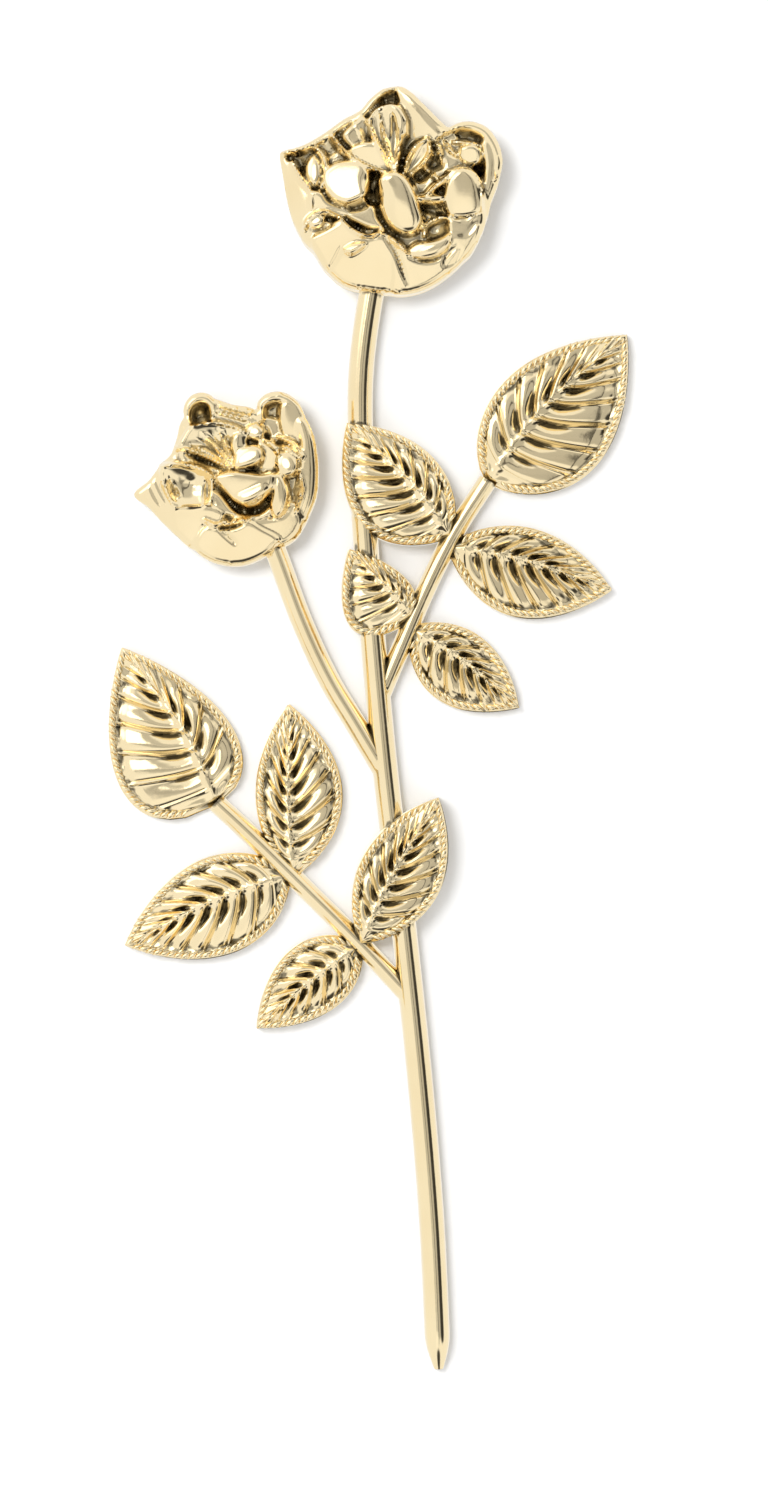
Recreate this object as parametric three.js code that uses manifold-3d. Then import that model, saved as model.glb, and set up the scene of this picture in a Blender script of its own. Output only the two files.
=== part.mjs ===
import * as THREE from "three";
import * as BufferGeometryUtils from "three/addons/utils/BufferGeometryUtils.js";
import Module from "manifold-3d";

// A cast metal spray for a wall or a door: a curved stem with two rose heads and two
// side sprays of five leaves each. It is one casting with a flat back.
// Lengths are millimetres. X is to the right and Z is up. The back lies in the plane Y = 0
// and the relief stands out toward -Y. The origin is on the back of the main stem.

// The whole spray, from the root end of the stem to the top of the upper rose. Places and leaf
// sizes are thousandths of it.
const SPRAY_HEIGHT = 319.3;
const HEIGHT_UNIT = SPRAY_HEIGHT / 1000;

// Stems: width on the back and height of the rounded front.
const STEM_WIDTH = 6.3;
const STEM_HEIGHT = 5.6;
const STEM_END_WIDTH = 2.4;
const STEM_END_TAPER = 9;
const SIDE_STEM_WIDTH = 5.4;
const SIDE_STEM_HEIGHT = 5.0;
const SPRAY_STEM_WIDTH = 4.8;
const SPRAY_STEM_HEIGHT = 4.3;

// Leaves: heights over the back, and the plain border outside the raised rim, which is wider
// at the tip. Veins are creases in the blade, with a swell between them.
const BORDER_WIDTH = 1.5;
const BORDER_AT_TIP = 1.8;
const BORDER_HEIGHT = 0.9;
const RIM_HEIGHT = 2.7;
const MIDRIB_HEIGHT = 4.6;
const MIDRIB_SHORT_OF_TIP = 2.4;
const VEIN_DEPTH = 1.1;
const VEIN_SWELL = 0.33;

// Rose heads: the size that their outlines are shares of, and how much of the stated
// heights each bloom has.
const TOP_ROSE_SIZE = 25;
const TOP_ROSE_RELIEF = 1.0;
const LOW_ROSE_SIZE = 25;
const LOW_ROSE_RELIEF = 0.9;
const PETAL_ROLL = 1.5;

// Centre lines on the back, as [x, z] points from the root end to the free end, in thousandths
// of the spray's height.
function fromShares([x, z]) {
  return [x * HEIGHT_UNIT, z * HEIGHT_UNIT];
}
const MAIN_STEM = [
  [42.9, -489.8],
  [37.3, -373.9],
  [28.2, -264.3],
  [14.9, -139.1],
  [0, -11.3],
  [-11, 111.5],
  [-17.5, 213],
  [-18, 288.1],
  [-10, 350.8],
  [-3.1, 382.1],
].map(fromShares);
const SIDE_STEM = [
  [1.6, -25.1],
  [-22.5, 15],
  [-43.2, 49.5],
  [-63.9, 94],
  [-82.1, 142.8],
  [-97.1, 181.6],
].map(fromShares);
const RIGHT_SPRAY = [
  [-4.7, 31.3],
  [11, 68.6],
  [32.6, 119],
  [55.1, 164.1],
  [81.1, 204.8],
].map(fromShares);
const LEFT_SPRAY = [
  [17.5, -196.1],
  [-18.8, -157.2],
  [-62.6, -113.4],
  [-106.5, -70.2],
  [-131.5, -47],
].map(fromShares);

// A leaf springs from its stem at a share of the stem's length. Turn is the direction of its
// tip in degrees from +X. Half holds its half widths to the left and right as seen toward the
// tip. Round is how fast it widens at its foot. Bow is the sideways curve of its midrib. Length,
// half widths and bow are thousandths of the spray's height. Lift raises the foot and the tip of
// a leaf that lies over the main stem, in mm.
const FLAT = [0, 0];
function leafFromShares(leaf) {
  return {
    ...leaf,
    length: leaf.length * HEIGHT_UNIT,
    half: leaf.half.map((share) => share * HEIGHT_UNIT),
    bow: leaf.bow * HEIGHT_UNIT,
  };
}
const RIGHT_LEAVES = [
  { at: 0.99, length: 159.7, turn: 46.4, half: [44.5, 53.2], round: 0.68, bow: 8.1, veins: 8, lift: FLAT },
  { at: 0.73, length: 120.6, turn: 133, half: [45.7, 31.3], round: 0.78, bow: -4.7, veins: 8, lift: [2, 5] },
  { at: 0.69, length: 133.4, turn: -15, half: [30.7, 40.1], round: 0.85, bow: 4.7, veins: 8, lift: FLAT },
  { at: 0.37, length: 73.3, turn: 134, half: [40.7, 16.9], round: 0.55, bow: -1.6, veins: 6, lift: [2, 5] },
  { at: 0.33, length: 106.5, turn: -36.5, half: [26.9, 32.6], round: 0.82, bow: 3.8, veins: 7, lift: FLAT },
].map(leafFromShares);
const LEFT_LEAVES = [
  { at: 0.99, length: 144.1, turn: 121.5, half: [58.3, 41.3], round: 0.45, bow: -7.5, veins: 7, lift: FLAT },
  { at: 0.6, length: 135.6, turn: 91.5, half: [28.2, 40.1], round: 0.85, bow: 2.5, veins: 8, lift: FLAT },
  { at: 0.62, length: 140.9, turn: 203.5, half: [39.5, 37.6], round: 0.72, bow: -4.7, veins: 8, lift: FLAT },
  { at: 0.25, length: 130, turn: 62, half: [30.7, 35.1], round: 0.88, bow: 3.8, veins: 8, lift: [3, 5] },
  { at: 0.25, length: 104.6, turn: 219, half: [26.3, 31], round: 0.7, bow: -2.5, veins: 7, lift: FLAT },
].map(leafFromShares);

// Each bloom is petals and raised folds about its middle. Outlines and paths are in hundredths
// of the bloom's size. Top is the height in mm at a petal's middle, tilt is how fast it rises
// toward +X and +Z, crown rounds the face and bowl hollows it.
const TOP_ROSE = {
  middle: fromShares([3.1, 430.9]),
  size: TOP_ROSE_SIZE,
  relief: TOP_ROSE_RELIEF,
  petals: [
    // Filler under the whole bloom
    {
      outline: [
        [4, 76], [-38, 66], [-72, 42], [-90, -8], [-72, -54], [-38, -84], [4, -93], [47, -84],
        [82, -54], [99, -8], [82, 40], [48, 64],
      ],
      top: 6.5, crown: 0.4,
    },
    // Hollow behind the top petal
    {
      outline: [
        [-25, 73], [-14, 89], [-2, 97], [12, 98], [16, 76], [4, 64], [-18, 62],
      ],
      top: 6, bowl: 0.6,
    },
    // Hollow behind the left corner
    {
      outline: [
        [-107, 35], [-83, 41], [-60, 52], [-52, 30], [-66, 6], [-82, -2], [-96, 18],
      ],
      top: 6, bowl: 0.6,
    },
    // Hollow of the right lobe
    {
      outline: [
        [62, 56], [82, 60], [101, 48], [106, 27], [98, 6], [78, 12], [64, 32],
      ],
      top: 5.5, bowl: 0.6,
    },
    // Left outer petal
    {
      outline: [
        [-107, 35], [-104, 10], [-100, -13], [-93, -36], [-80, -55], [-66, -54], [-54, -36], [-66, -14],
        [-79, -2], [-89, 14], [-97, 25],
      ],
      top: 8.4, tilt: [0.26, 0.06], crown: 0.8,
    },
    // Lower left outer petal
    {
      outline: [
        [-86, -49], [-74, -63], [-60, -83], [-45, -76], [-38, -58], [-43, -40], [-60, -39], [-76, -46],
      ],
      top: 8.6, tilt: [0.2, 0.22], crown: 0.7,
    },
    // Bottom left outer petal
    {
      outline: [
        [-60, -83], [-43, -97], [-22, -102], [2, -104], [20, -98], [13, -80], [3, -60], [-16, -53],
        [-38, -58], [-50, -70],
      ],
      top: 9, tilt: [0.04, 0.26], crown: 0.8,
    },
    // Bottom right outer petal
    {
      outline: [
        [0, -103], [20, -105], [40, -99], [59, -87], [65, -70], [58, -58], [42, -70], [20, -66],
        [4, -59], [8, -80],
      ],
      top: 8.8, tilt: [-0.08, 0.26], crown: 0.8,
    },
    // Lower right outer petal
    {
      outline: [
        [58, -87], [77, -70], [91, -50], [97, -30], [90, -22], [72, -26], [61, -36], [62, -53],
        [57, -70],
      ],
      top: 9.6, tilt: [-0.22, 0.12], crown: 0.8,
    },
    // Right outer petal
    {
      outline: [
        [97, -32], [103, -12], [110, 6], [112, 26], [106, 45], [96, 55], [92, 42], [94, 22], [92, -3],
        [88, -24],
      ],
      top: 9, tilt: [-0.25, 0], crown: 0.7,
    },
    // Top outer petal
    {
      outline: [
        [59, 58], [48, 70], [34, 84], [20, 97], [8, 101], [10, 84], [14, 64], [24, 48], [42, 42],
        [56, 47],
      ],
      top: 9.6, tilt: [-0.08, -0.08], crown: 0.8,
    },
    // Round inner petal
    {
      outline: [
        [-58, 22], [-43, 29], [-26, 24], [-19, 8], [-24, -8], [-40, -16], [-56, -10], [-63, 5],
      ],
      top: 13, crown: 3,
    },
    // Shoulder above the round petal
    {
      outline: [
        [-61, 40], [-46, 44], [-36, 34], [-44, 24], [-57, 20],
      ],
      top: 9.6, crown: 0.6,
    },
    // Left inner fold
    {
      outline: [
        [-75, 35], [-67, 40], [-60, 32], [-60, 15], [-64, -1], [-73, -5], [-79, 6], [-81, 22],
      ],
      top: 10.6, tilt: [0.2, 0], crown: 1.2,
    },
    // Left inner petal
    {
      outline: [
        [-80, -7], [-66, -2], [-52, -8], [-36, -22], [-35, -31], [-53, -35], [-74, -32], [-81, -20],
      ],
      top: 10, tilt: [0.12, 0.2], crown: 1,
    },
    // Middle inner petal
    {
      outline: [
        [-38, -21], [-23, -14], [-8, -15], [-4, -32], [4, -48], [-4, -54], [-20, -48], [-34, -34],
      ],
      top: 10, tilt: [0.05, 0.05], crown: 0.6,
    },
    // Left wing of the bud
    {
      outline: [
        [-45, 50], [-34, 58], [-22, 64], [-14, 52], [-4, 36], [9, 20], [6, 13], [-12, 15], [-28, 24],
        [-39, 36],
      ],
      top: 11.4, tilt: [0.25, 0], crown: 0.8,
    },
    // Left petal of the bud
    {
      outline: [
        [-17, 62], [-10, 73], [2, 76], [13, 70], [17, 54], [15, 34], [11, 14], [1, 24], [-9, 39],
        [-16, 51],
      ],
      top: 13.4, bowl: 1.8,
    },
    // Heart of the bud
    {
      outline: [
        [-8, 62], [-1, 69], [6, 61], [7, 46], [3, 32], [-4, 43],
      ],
      top: 13.6, crown: 0.8,
    },
    // Right petal of the bud
    {
      outline: [
        [16, 56], [26, 60], [37, 52], [33, 40], [23, 28], [15, 14], [12, 32],
      ],
      top: 12.2, bowl: 1,
    },
    // Right wing of the bud
    {
      outline: [
        [39, 48], [37, 34], [29, 23], [18, 15], [15, 20], [22, 35], [31, 45],
      ],
      top: 13, bowl: 0.7,
    },
    // Standing middle petal
    {
      outline: [
        [-7, 12], [6, 15], [18, 12], [26, 0], [29, -16], [33, -32], [31, -43], [20, -47], [8, -43],
        [-1, -33], [-6, -19], [-9, -3],
      ],
      top: 14.8, tilt: [0, 0.08], crown: 2.2,
    },
    // Right inner petal
    {
      outline: [
        [73, 14], [83, 15], [90, 4], [93, -12], [89, -27], [75, -30], [62, -31], [58, -16], [63, -2],
      ],
      top: 12, tilt: [-0.1, 0], crown: 1,
    },
    // Small upper right petal
    {
      outline: [
        [68, 39], [78, 42], [88, 39], [89, 24], [78, 18], [69, 24],
      ],
      top: 10.5, crown: 0.8,
    },
    // Curled lower petal
    {
      outline: [
        [19, -65], [29, -57], [42, -51], [55, -47], [60, -55], [53, -66], [38, -71], [25, -70],
      ],
      top: 12.4, crown: 2.2,
    },
  ],
  folds: [
    {
      path: [[-105, 34], [-83, 40], [-62, 51], [-43, 64], [-25, 74], [-14, 87], [-3, 96], [10, 99]],
      width: 1.9, top: 8.6,
    },
    {
      path: [[60, 57], [71, 61], [83, 61], [96, 55], [105, 43], [110, 26], [108, 8]],
      width: 2.4, top: 9.6,
    },
    { path: [[-88, -44], [-76, -28], [-60, -27], [-42, -33]], width: 1.6, top: 11 },
    { path: [[-43, -34], [-32, -43], [-17, -48], [-2, -53], [8, -64]], width: 1.6, top: 12 },
    { path: [[40, 20], [44, 32], [49, 40]], width: 1.8, top: 11.6 },
    { path: [[25, -11], [40, -8], [58, -10]], width: 2, top: 12 },
    { path: [[40, -5], [58, 0], [73, 14]], width: 2, top: 12 },
    { path: [[32, 82], [44, 66], [58, 54]], width: 1.6, top: 10.4 },
    { path: [[36, -48], [37, -36], [52, -29], [62, -30]], width: 1.8, top: 11 },
  ],
};

const LOW_ROSE = {
  middle: fromShares([-120.6, 202.3]),
  size: LOW_ROSE_SIZE,
  relief: LOW_ROSE_RELIEF,
  petals: [
    // Filler under the whole bloom
    {
      outline: [
        [6, 64], [-25, 64], [-45, 44], [-64, 14], [-70, -21], [-45, -51], [-10, -71], [22, -71],
        [55, -56], [72, -31], [78, 4], [72, 44], [45, 64],
      ],
      top: 6.5, crown: 0.4,
    },
    // Hollow of the left lobe
    {
      outline: [
        [-42, 60], [-40, 76], [-28, 84], [-17, 78], [-14, 60], [-28, 50],
      ],
      top: 5.6, bowl: 0.6,
    },
    // Hollow of the right lobe
    {
      outline: [
        [32, 64], [33, 78], [45, 84], [60, 78], [66, 60], [48, 50],
      ],
      top: 6, bowl: 0.6,
    },
    // Left corner petal
    {
      outline: [
        [-95, -12], [-80, 2], [-66, 17], [-57, 10], [-58, -12], [-51, -32], [-48, -55], [-65, -41],
        [-81, -24],
      ],
      top: 8, tilt: [0.22, 0.08], crown: 0.7,
    },
    // Lower left outer petal
    {
      outline: [
        [-54, -22], [-34, -22], [-6, -26], [-8, -38], [-26, -46], [-33, -67], [-50, -55], [-58, -38],
      ],
      top: 9, tilt: [0.1, 0.22], crown: 0.8,
    },
    // Bottom outer petal
    {
      outline: [
        [-34, -66], [-30, -52], [-16, -45], [4, -40], [20, -37], [34, -46], [50, -57], [42, -69],
        [25, -79], [10, -83], [-6, -82], [-21, -77],
      ],
      top: 9.2, tilt: [0, 0.25], crown: 0.8,
    },
    // Lower right outer petal
    {
      outline: [
        [18, -38], [36, -36], [54, -32], [63, -20], [71, -30], [73, -46], [64, -58], [50, -64],
        [34, -50],
      ],
      top: 9, tilt: [-0.15, 0.2], crown: 0.7,
    },
    // Right outer petal
    {
      outline: [
        [72, -46], [81, -30], [87, -14], [89, 6], [88, 28], [84, 48], [75, 64], [67, 60], [70, 39],
        [68, 14], [64, -6], [65, -28],
      ],
      top: 9.2, tilt: [-0.25, 0.03], crown: 0.8,
    },
    // Top right petal
    {
      outline: [
        [54, 80], [66, 76], [76, 62], [76, 44], [64, 38], [52, 50], [50, 68],
      ],
      top: 9.4, tilt: [-0.1, -0.05], crown: 0.8,
    },
    // Left side petal
    {
      outline: [
        [-70, 16], [-58, 28], [-52, 44], [-48, 60], [-40, 68], [-36, 54], [-40, 38], [-48, 24],
        [-62, 12],
      ],
      top: 8.2, tilt: [0.2, 0], crown: 0.7,
    },
    // Top middle petal
    {
      outline: [
        [-17, 82], [4, 77], [24, 73], [34, 64], [28, 54], [10, 52], [-14, 54], [-20, 68],
      ],
      top: 9.4, tilt: [0, -0.1], crown: 0.7,
    },
    // Open inner cup
    {
      outline: [
        [-38, 54], [-16, 57], [8, 53], [19, 44], [17, 28], [9, 14], [-6, 10], [-26, 14], [-41, 22],
        [-46, 38],
      ],
      top: 11.8, bowl: 2.8,
    },
    // Small petal in the cup
    {
      outline: [
        [6, 44], [13, 48], [18, 39], [14, 27], [7, 24], [3, 34],
      ],
      top: 12, crown: 0.8,
    },
    // Upper inner petal
    {
      outline: [
        [17, 53], [32, 55], [35, 44], [24, 38], [15, 44],
      ],
      top: 11.8, crown: 0.8,
    },
    // Bright inner petal
    {
      outline: [
        [14, 28], [25, 37], [33, 30], [31, 19], [20, 12], [5, 11], [6, 20],
      ],
      top: 12.8, tilt: [-0.1, 0.1], crown: 1,
    },
    // Right inner petal
    {
      outline: [
        [50, 31], [62, 29], [69, 19], [65, 7], [54, 3], [46, 14],
      ],
      top: 11.8, crown: 1.2,
    },
    // Open left petal
    {
      outline: [
        [-62, 14], [-45, 11], [-26, 5], [-16, -2], [-15, -16], [-19, -23], [-35, -24], [-50, -23],
        [-57, -12], [-63, 2],
      ],
      top: 11.8, bowl: 3.4,
    },
    // Broad middle petal
    {
      outline: [
        [-15, 2], [-4, 6], [12, 2], [28, -1], [42, 6], [51, 1], [47, -11], [33, -20], [21, -27],
        [12, -27], [0, -17], [-10, -7],
      ],
      top: 13.6, tilt: [0, 0.1], crown: 1.8,
    },
    // Low fold under the middle
    {
      outline: [
        [-14, -15], [-2, -22], [12, -30], [32, -28], [42, -21], [42, -34], [20, -37], [-4, -33],
      ],
      top: 10, crown: 0.6,
    },
    // Right curled petal
    {
      outline: [
        [41, 5], [50, 7], [57, -2], [60, -16], [56, -28], [47, -35], [42, -25], [42, -10],
      ],
      top: 12.4, crown: 1.2,
    },
  ],
  folds: [
    { path: [[-40, 56], [-41, 74], [-33, 83], [-22, 83], [-15, 75], [-17, 60]], width: 2.2, top: 9.4 },
    { path: [[32, 62], [32, 77], [41, 84], [54, 84], [66, 77], [74, 65]], width: 2.4, top: 9.6 },
    { path: [[-52, 31], [-32, 24], [-10, 17], [8, 11]], width: 1.6, top: 12.2 },
    { path: [[-64, 15], [-44, 15], [-24, 9], [-14, 1]], width: 1.6, top: 12.2 },
    { path: [[-67, 2], [-60, -12], [-53, -28]], width: 1.6, top: 10.4 },
    { path: [[-22, -40], [-9, -44], [6, -38], [20, -38]], width: 1.8, top: 11.4 },
    { path: [[-40, 50], [-45, 37], [-34, 26]], width: 1.8, top: 10.6 },
    { path: [[32, 38], [42, 34], [49, 22]], width: 2, top: 12 },
    { path: [[50, 43], [64, 38], [77, 21]], width: 1.8, top: 10.6 },
    { path: [[-8, 76], [8, 70], [26, 66]], width: 1.4, top: 10.4 },
  ],
};

const wasm = await Module();
wasm.setup();

// A point at x and z whose height h stands out from the back.
function point(x, z, h) {
  return new THREE.Vector3(x, -h, z);
}

function smoothCurve(points) {
  return new THREE.CatmullRomCurve3(points.map(([x, z]) => point(x, z, 0)), false, "centripetal");
}

// A solid from closed rings of equally many points, each ring joined to the next. Rings run
// with the back at their ends, and the first and last ring may shrink to a point or a line.
function ringSolid(rings, capped) {
  const positions = [];
  const count = rings[0].length;
  const triangle = (a, b, c) => positions.push(...a, ...b, ...c);
  for (let i = 0; i + 1 < rings.length; i += 1) {
    for (let k = 0; k < count; k += 1) {
      const next = (k + 1) % count;
      triangle(rings[i][k], rings[i + 1][k], rings[i + 1][next]);
      triangle(rings[i][k], rings[i + 1][next], rings[i][next]);
    }
  }
  if (capped) {
    const first = rings[0];
    const last = rings[rings.length - 1];
    for (let k = 1; k + 1 < count; k += 1) {
      triangle(first[0], first[k], first[k + 1]);
      triangle(last[0], last[k + 1], last[k]);
    }
  }
  return solidFrom(positions);
}

// Merges equal corners, leaves out triangles that have shrunk to a line, and turns the
// surface outward if it encloses a negative volume.
function solidFrom(positions) {
  const loose = new THREE.BufferGeometry();
  loose.setAttribute("position", new THREE.Float32BufferAttribute(positions, 3));
  const merged = BufferGeometryUtils.mergeVertices(loose, 1e-4);
  const vertices = merged.getAttribute("position");
  const corner = (i) => new THREE.Vector3().fromBufferAttribute(vertices, i);
  const triangles = [];
  let volume = 0;
  for (let i = 0; i < merged.index.count; i += 3) {
    const [a, b, c] = [0, 1, 2].map((k) => merged.index.getX(i + k));
    if (a !== b && b !== c && c !== a) {
      triangles.push([a, b, c]);
      volume += corner(a).dot(corner(b).cross(corner(c)));
    }
  }
  const outward = volume > 0 ? triangles : triangles.map(([a, b, c]) => [a, c, b]);
  const mesh = new wasm.Mesh({
    numProp: 3,
    vertProperties: Float32Array.from(vertices.array),
    triVerts: Uint32Array.from(outward.flat()),
  });
  return new wasm.Manifold(mesh);
}

// A ridge is a row of half round sections, flat on the back, along a smooth curve. The lower
// the section's power, the fuller its shoulders.
const SECTION_POWER = 0.8;
function ridgeSolid(points, width, height, steps, sides, widthAt, heightAt) {
  const curve = smoothCurve(points);
  const rings = [];
  for (let i = 0; i <= steps; i += 1) {
    const along = i / steps;
    const middle = curve.getPointAt(along);
    const way = curve.getTangentAt(along);
    const distance = along * curve.getLength();
    const ring = [];
    for (let k = 0; k <= sides; k += 1) {
      const angle = (Math.PI * k) / sides;
      const side = (-Math.cos(angle) * width * widthAt(distance)) / 2;
      const rise = Math.sin(angle) ** SECTION_POWER * height * heightAt(distance);
      ring.push(point(middle.x + way.z * side, middle.z - way.x * side, rise));
    }
    rings.push(ring);
  }
  return ringSolid(rings, true);
}

const STEM_SIDES = 7;
const STEM_FACET = 11;
function stemSolid(points, width, height, shareAt) {
  const steps = Math.ceil(smoothCurve(points).getLength() / STEM_FACET);
  return ridgeSolid(points, width, height, steps, STEM_SIDES, shareAt, shareAt);
}

function evenWidth() {
  return 1;
}

function taperedFoot(distance) {
  const share = Math.min(1, distance / STEM_END_TAPER);
  const least = STEM_END_WIDTH / STEM_WIDTH;
  return least + (1 - least) * Math.sin((share * Math.PI) / 2);
}

// The half width of a leaf at a share of its length, as a share of the greatest half width.
const TIP_SHARPNESS = 0.95;
function leafProfile(share, round) {
  const widest = round / (round + TIP_SHARPNESS);
  const greatest = widest ** round * (1 - widest) ** TIP_SHARPNESS;
  return (share ** round * (1 - share) ** TIP_SHARPNESS) / greatest;
}

// Veins lean forward: one that leaves the midrib at a share t meets the rim at this share.
const VEIN_LEAN = 0.25;
function rimShare(t) {
  return t + VEIN_LEAN * Math.sin(Math.PI * t);
}

// Cross sections of a leaf as shares of its midrib, and whether each runs along a crease.
// Between its first and last vein a leaf has a crease and a crest for each vein.
const FOOT_SHARE = 0.03;
const FIRST_VEIN_SHARE = 0.07;
const LAST_VEIN_SHARE = 0.95;
const CREST_SHARE = 0.62;
function leafStations(veins) {
  const stations = [{ t: 0 }, { t: FOOT_SHARE }];
  const pitch = (LAST_VEIN_SHARE - FIRST_VEIN_SHARE) / veins;
  for (let i = 0; i < veins; i += 1) {
    const crease = FIRST_VEIN_SHARE + i * pitch;
    stations.push({ t: crease, crease: true }, { t: crease + CREST_SHARE * pitch });
  }
  stations.push({ t: LAST_VEIN_SHARE, crease: true }, { t: 1 });
  return stations;
}

// One half of a leaf's cross section, from the back edge of its border to its midrib, as
// distances along and across the leaf and heights.
const BLADE_SHARE = 0.5;
function leafHalf(leaf, { t, crease }, side) {
  const { length, round, bow } = leaf;
  const widest = side > 0 ? leaf.half[0] : leaf.half[1];
  const share = rimShare(t);
  const fullness = Math.sqrt(Math.sin(Math.PI * t));
  const edge = [share * length, leafProfile(share, round) * widest];
  const rim = [
    BORDER_WIDTH + share * (length - BORDER_WIDTH - BORDER_AT_TIP),
    edge[1] * (1 - BORDER_WIDTH / widest),
  ];
  const rib = [
    BORDER_WIDTH + t * (length - BORDER_WIDTH - MIDRIB_SHORT_OF_TIP),
    side * bow * Math.sin(Math.PI * t),
  ];
  const blade = rim.map((value, i) => rib[i] + (value - rib[i]) * BLADE_SHARE);
  const ribHeight = RIM_HEIGHT + (MIDRIB_HEIGHT - RIM_HEIGHT) * fullness;
  const vein = (crease ? -VEIN_DEPTH : VEIN_SWELL) * fullness;
  const bladeHeight = (ribHeight + RIM_HEIGHT) / 2 + vein;
  return [
    [edge, 0],
    [edge, BORDER_HEIGHT],
    [rim, RIM_HEIGHT],
    [blade, bladeHeight],
    [rib, ribHeight],
  ].map(([[along, across], height]) => ({ along, across: side * across, height }));
}

function leafSolid(stem, leaf) {
  const foot = smoothCurve(stem).getPointAt(leaf.at);
  const turn = THREE.MathUtils.degToRad(leaf.turn);
  const [footLift, tipLift] = leaf.lift;
  const place = ({ along, across, height }) => {
    const x = foot.x + along * Math.cos(turn) - across * Math.sin(turn);
    const z = foot.z + along * Math.sin(turn) + across * Math.cos(turn);
    const lift = footLift + ((tipLift - footLift) * along) / leaf.length;
    return point(x, z, height > 0 ? height + lift : 0);
  };
  const rings = leafStations(leaf.veins).map((station) => {
    const left = leafHalf(leaf, station, 1);
    const right = leafHalf(leaf, station, -1);
    return [...left, ...right.slice(0, -1).reverse()].map(place);
  });
  return ringSolid(rings, false);
}

// A petal is a face over a closed smooth outline: rings from the outline to the middle, with
// a rolled edge, and a straight wall from the edge to the back.
const CROWNED_RINGS = [1, 0.8];
const BOWL_SHARE = 0.84;
const HOLLOW_RINGS = [1, BOWL_SHARE, 0.45];
const DEEP_BOWL = 1;
const PETAL_FACET = 4.5;
const FEWEST_FACETS = 7;
function petalSolid(rose, petal) {
  const { outline, top, tilt = [0, 0], crown = 0, bowl = 0 } = petal;
  const unit = rose.size / 100;
  const corners = outline.map(([x, z]) => point(x * unit, z * unit, 0));
  const edge = new THREE.CatmullRomCurve3(corners, true, "centripetal");
  const segments = Math.max(FEWEST_FACETS, Math.round(edge.getLength() / PETAL_FACET));
  const edgePoints = edge.getSpacedPoints(segments).slice(0, segments);
  const middle = new THREE.Vector3();
  edgePoints.forEach((p) => middle.addScaledVector(p, 1 / segments));
  const faceHeight = (share, dx, dz) => {
    const roll = share === 1 ? PETAL_ROLL : 0;
    const hollow = bowl * Math.max(0, 1 - (share / BOWL_SHARE) ** 2);
    return (top + tilt[0] * dx + tilt[1] * dz - crown * share ** 2 - hollow - roll) * rose.relief;
  };
  const ringAt = (share, heightAt) => edgePoints.map((p) => {
    const dx = (p.x - middle.x) * share;
    const dz = (p.z - middle.z) * share;
    const x = rose.middle[0] + middle.x + dx;
    const z = rose.middle[1] + middle.z + dz;
    return point(x, z, heightAt(share, dx, dz));
  });
  const rings = [ringAt(0, () => 0), ringAt(1, () => 0)];
  const shares = bowl > DEEP_BOWL ? HOLLOW_RINGS : CROWNED_RINGS;
  shares.forEach((share) => rings.push(ringAt(share, faceHeight)));
  rings.push(ringAt(0, faceHeight));
  return ringSolid(rings, false);
}

// A raised fold or rolled lip stands on the back like a stem, thinner toward both ends.
const FOLD_FACET = 4.5;
const FOLD_SIDES = 3;
const FOLD_END_SHARE = 0.55;
function foldSolid(rose, fold) {
  const unit = rose.size / 100;
  const path = fold.path.map(([x, z]) => [rose.middle[0] + x * unit, rose.middle[1] + z * unit]);
  const length = smoothCurve(path).getLength();
  const steps = Math.max(FOLD_SIDES, Math.round(length / FOLD_FACET));
  const swell = (distance) => Math.sin((Math.PI * distance) / length);
  const widthAt = (distance) => FOLD_END_SHARE + (1 - FOLD_END_SHARE) * swell(distance);
  return ridgeSolid(path, fold.width, fold.top * rose.relief, steps, FOLD_SIDES, widthAt, evenWidth);
}

function roseSolids(rose) {
  const petals = rose.petals.map((petal) => petalSolid(rose, petal));
  return [...petals, ...rose.folds.map((fold) => foldSolid(rose, fold))];
}

// The casting: every stem, leaf and petal joined into one solid.
const solids = [
  stemSolid(MAIN_STEM, STEM_WIDTH, STEM_HEIGHT, taperedFoot),
  stemSolid(SIDE_STEM, SIDE_STEM_WIDTH, SIDE_STEM_HEIGHT, evenWidth),
  stemSolid(RIGHT_SPRAY, SPRAY_STEM_WIDTH, SPRAY_STEM_HEIGHT, evenWidth),
  stemSolid(LEFT_SPRAY, SPRAY_STEM_WIDTH, SPRAY_STEM_HEIGHT, evenWidth),
  ...RIGHT_LEAVES.map((leaf) => leafSolid(RIGHT_SPRAY, leaf)),
  ...LEFT_LEAVES.map((leaf) => leafSolid(LEFT_SPRAY, leaf)),
  ...roseSolids(TOP_ROSE),
  ...roseSolids(LOW_ROSE),
];
const casting = solids.reduce((joined, solid) => joined.add(solid));

// Back to a three.js mesh with flat facets.
function meshFrom(solid, name, material) {
  const { vertProperties, triVerts } = solid.getMesh();
  const geometry = new THREE.BufferGeometry();
  geometry.setAttribute("position", new THREE.BufferAttribute(vertProperties, 3));
  geometry.setIndex(new THREE.BufferAttribute(triVerts, 1));
  geometry.computeVertexNormals();
  const mesh = new THREE.Mesh(geometry, material);
  mesh.name = name;
  return mesh;
}

const champagneGold = new THREE.MeshStandardMaterial({
  color: 0xd9bf86,
  roughness: 0.22,
  metalness: 1,
});

const roseSpray = new THREE.Group();
roseSpray.add(meshFrom(casting, "rose_spray", champagneGold));

export default roseSpray;
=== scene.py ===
# %% [markdown]
# # A cast metal rose spray
# The real object is one casting in pale polished gold: a curved stem, two rose heads and two
# side sprays of veined leaves, flat at the back. Blender gives it the fine relief and the
# finish. The imported CAD model is the frame: it is loaded first, and its box is kept.

import math

import bmesh
import bpy
import numpy as np
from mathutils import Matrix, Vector
from mathutils.bvhtree import BVHTree


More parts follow.
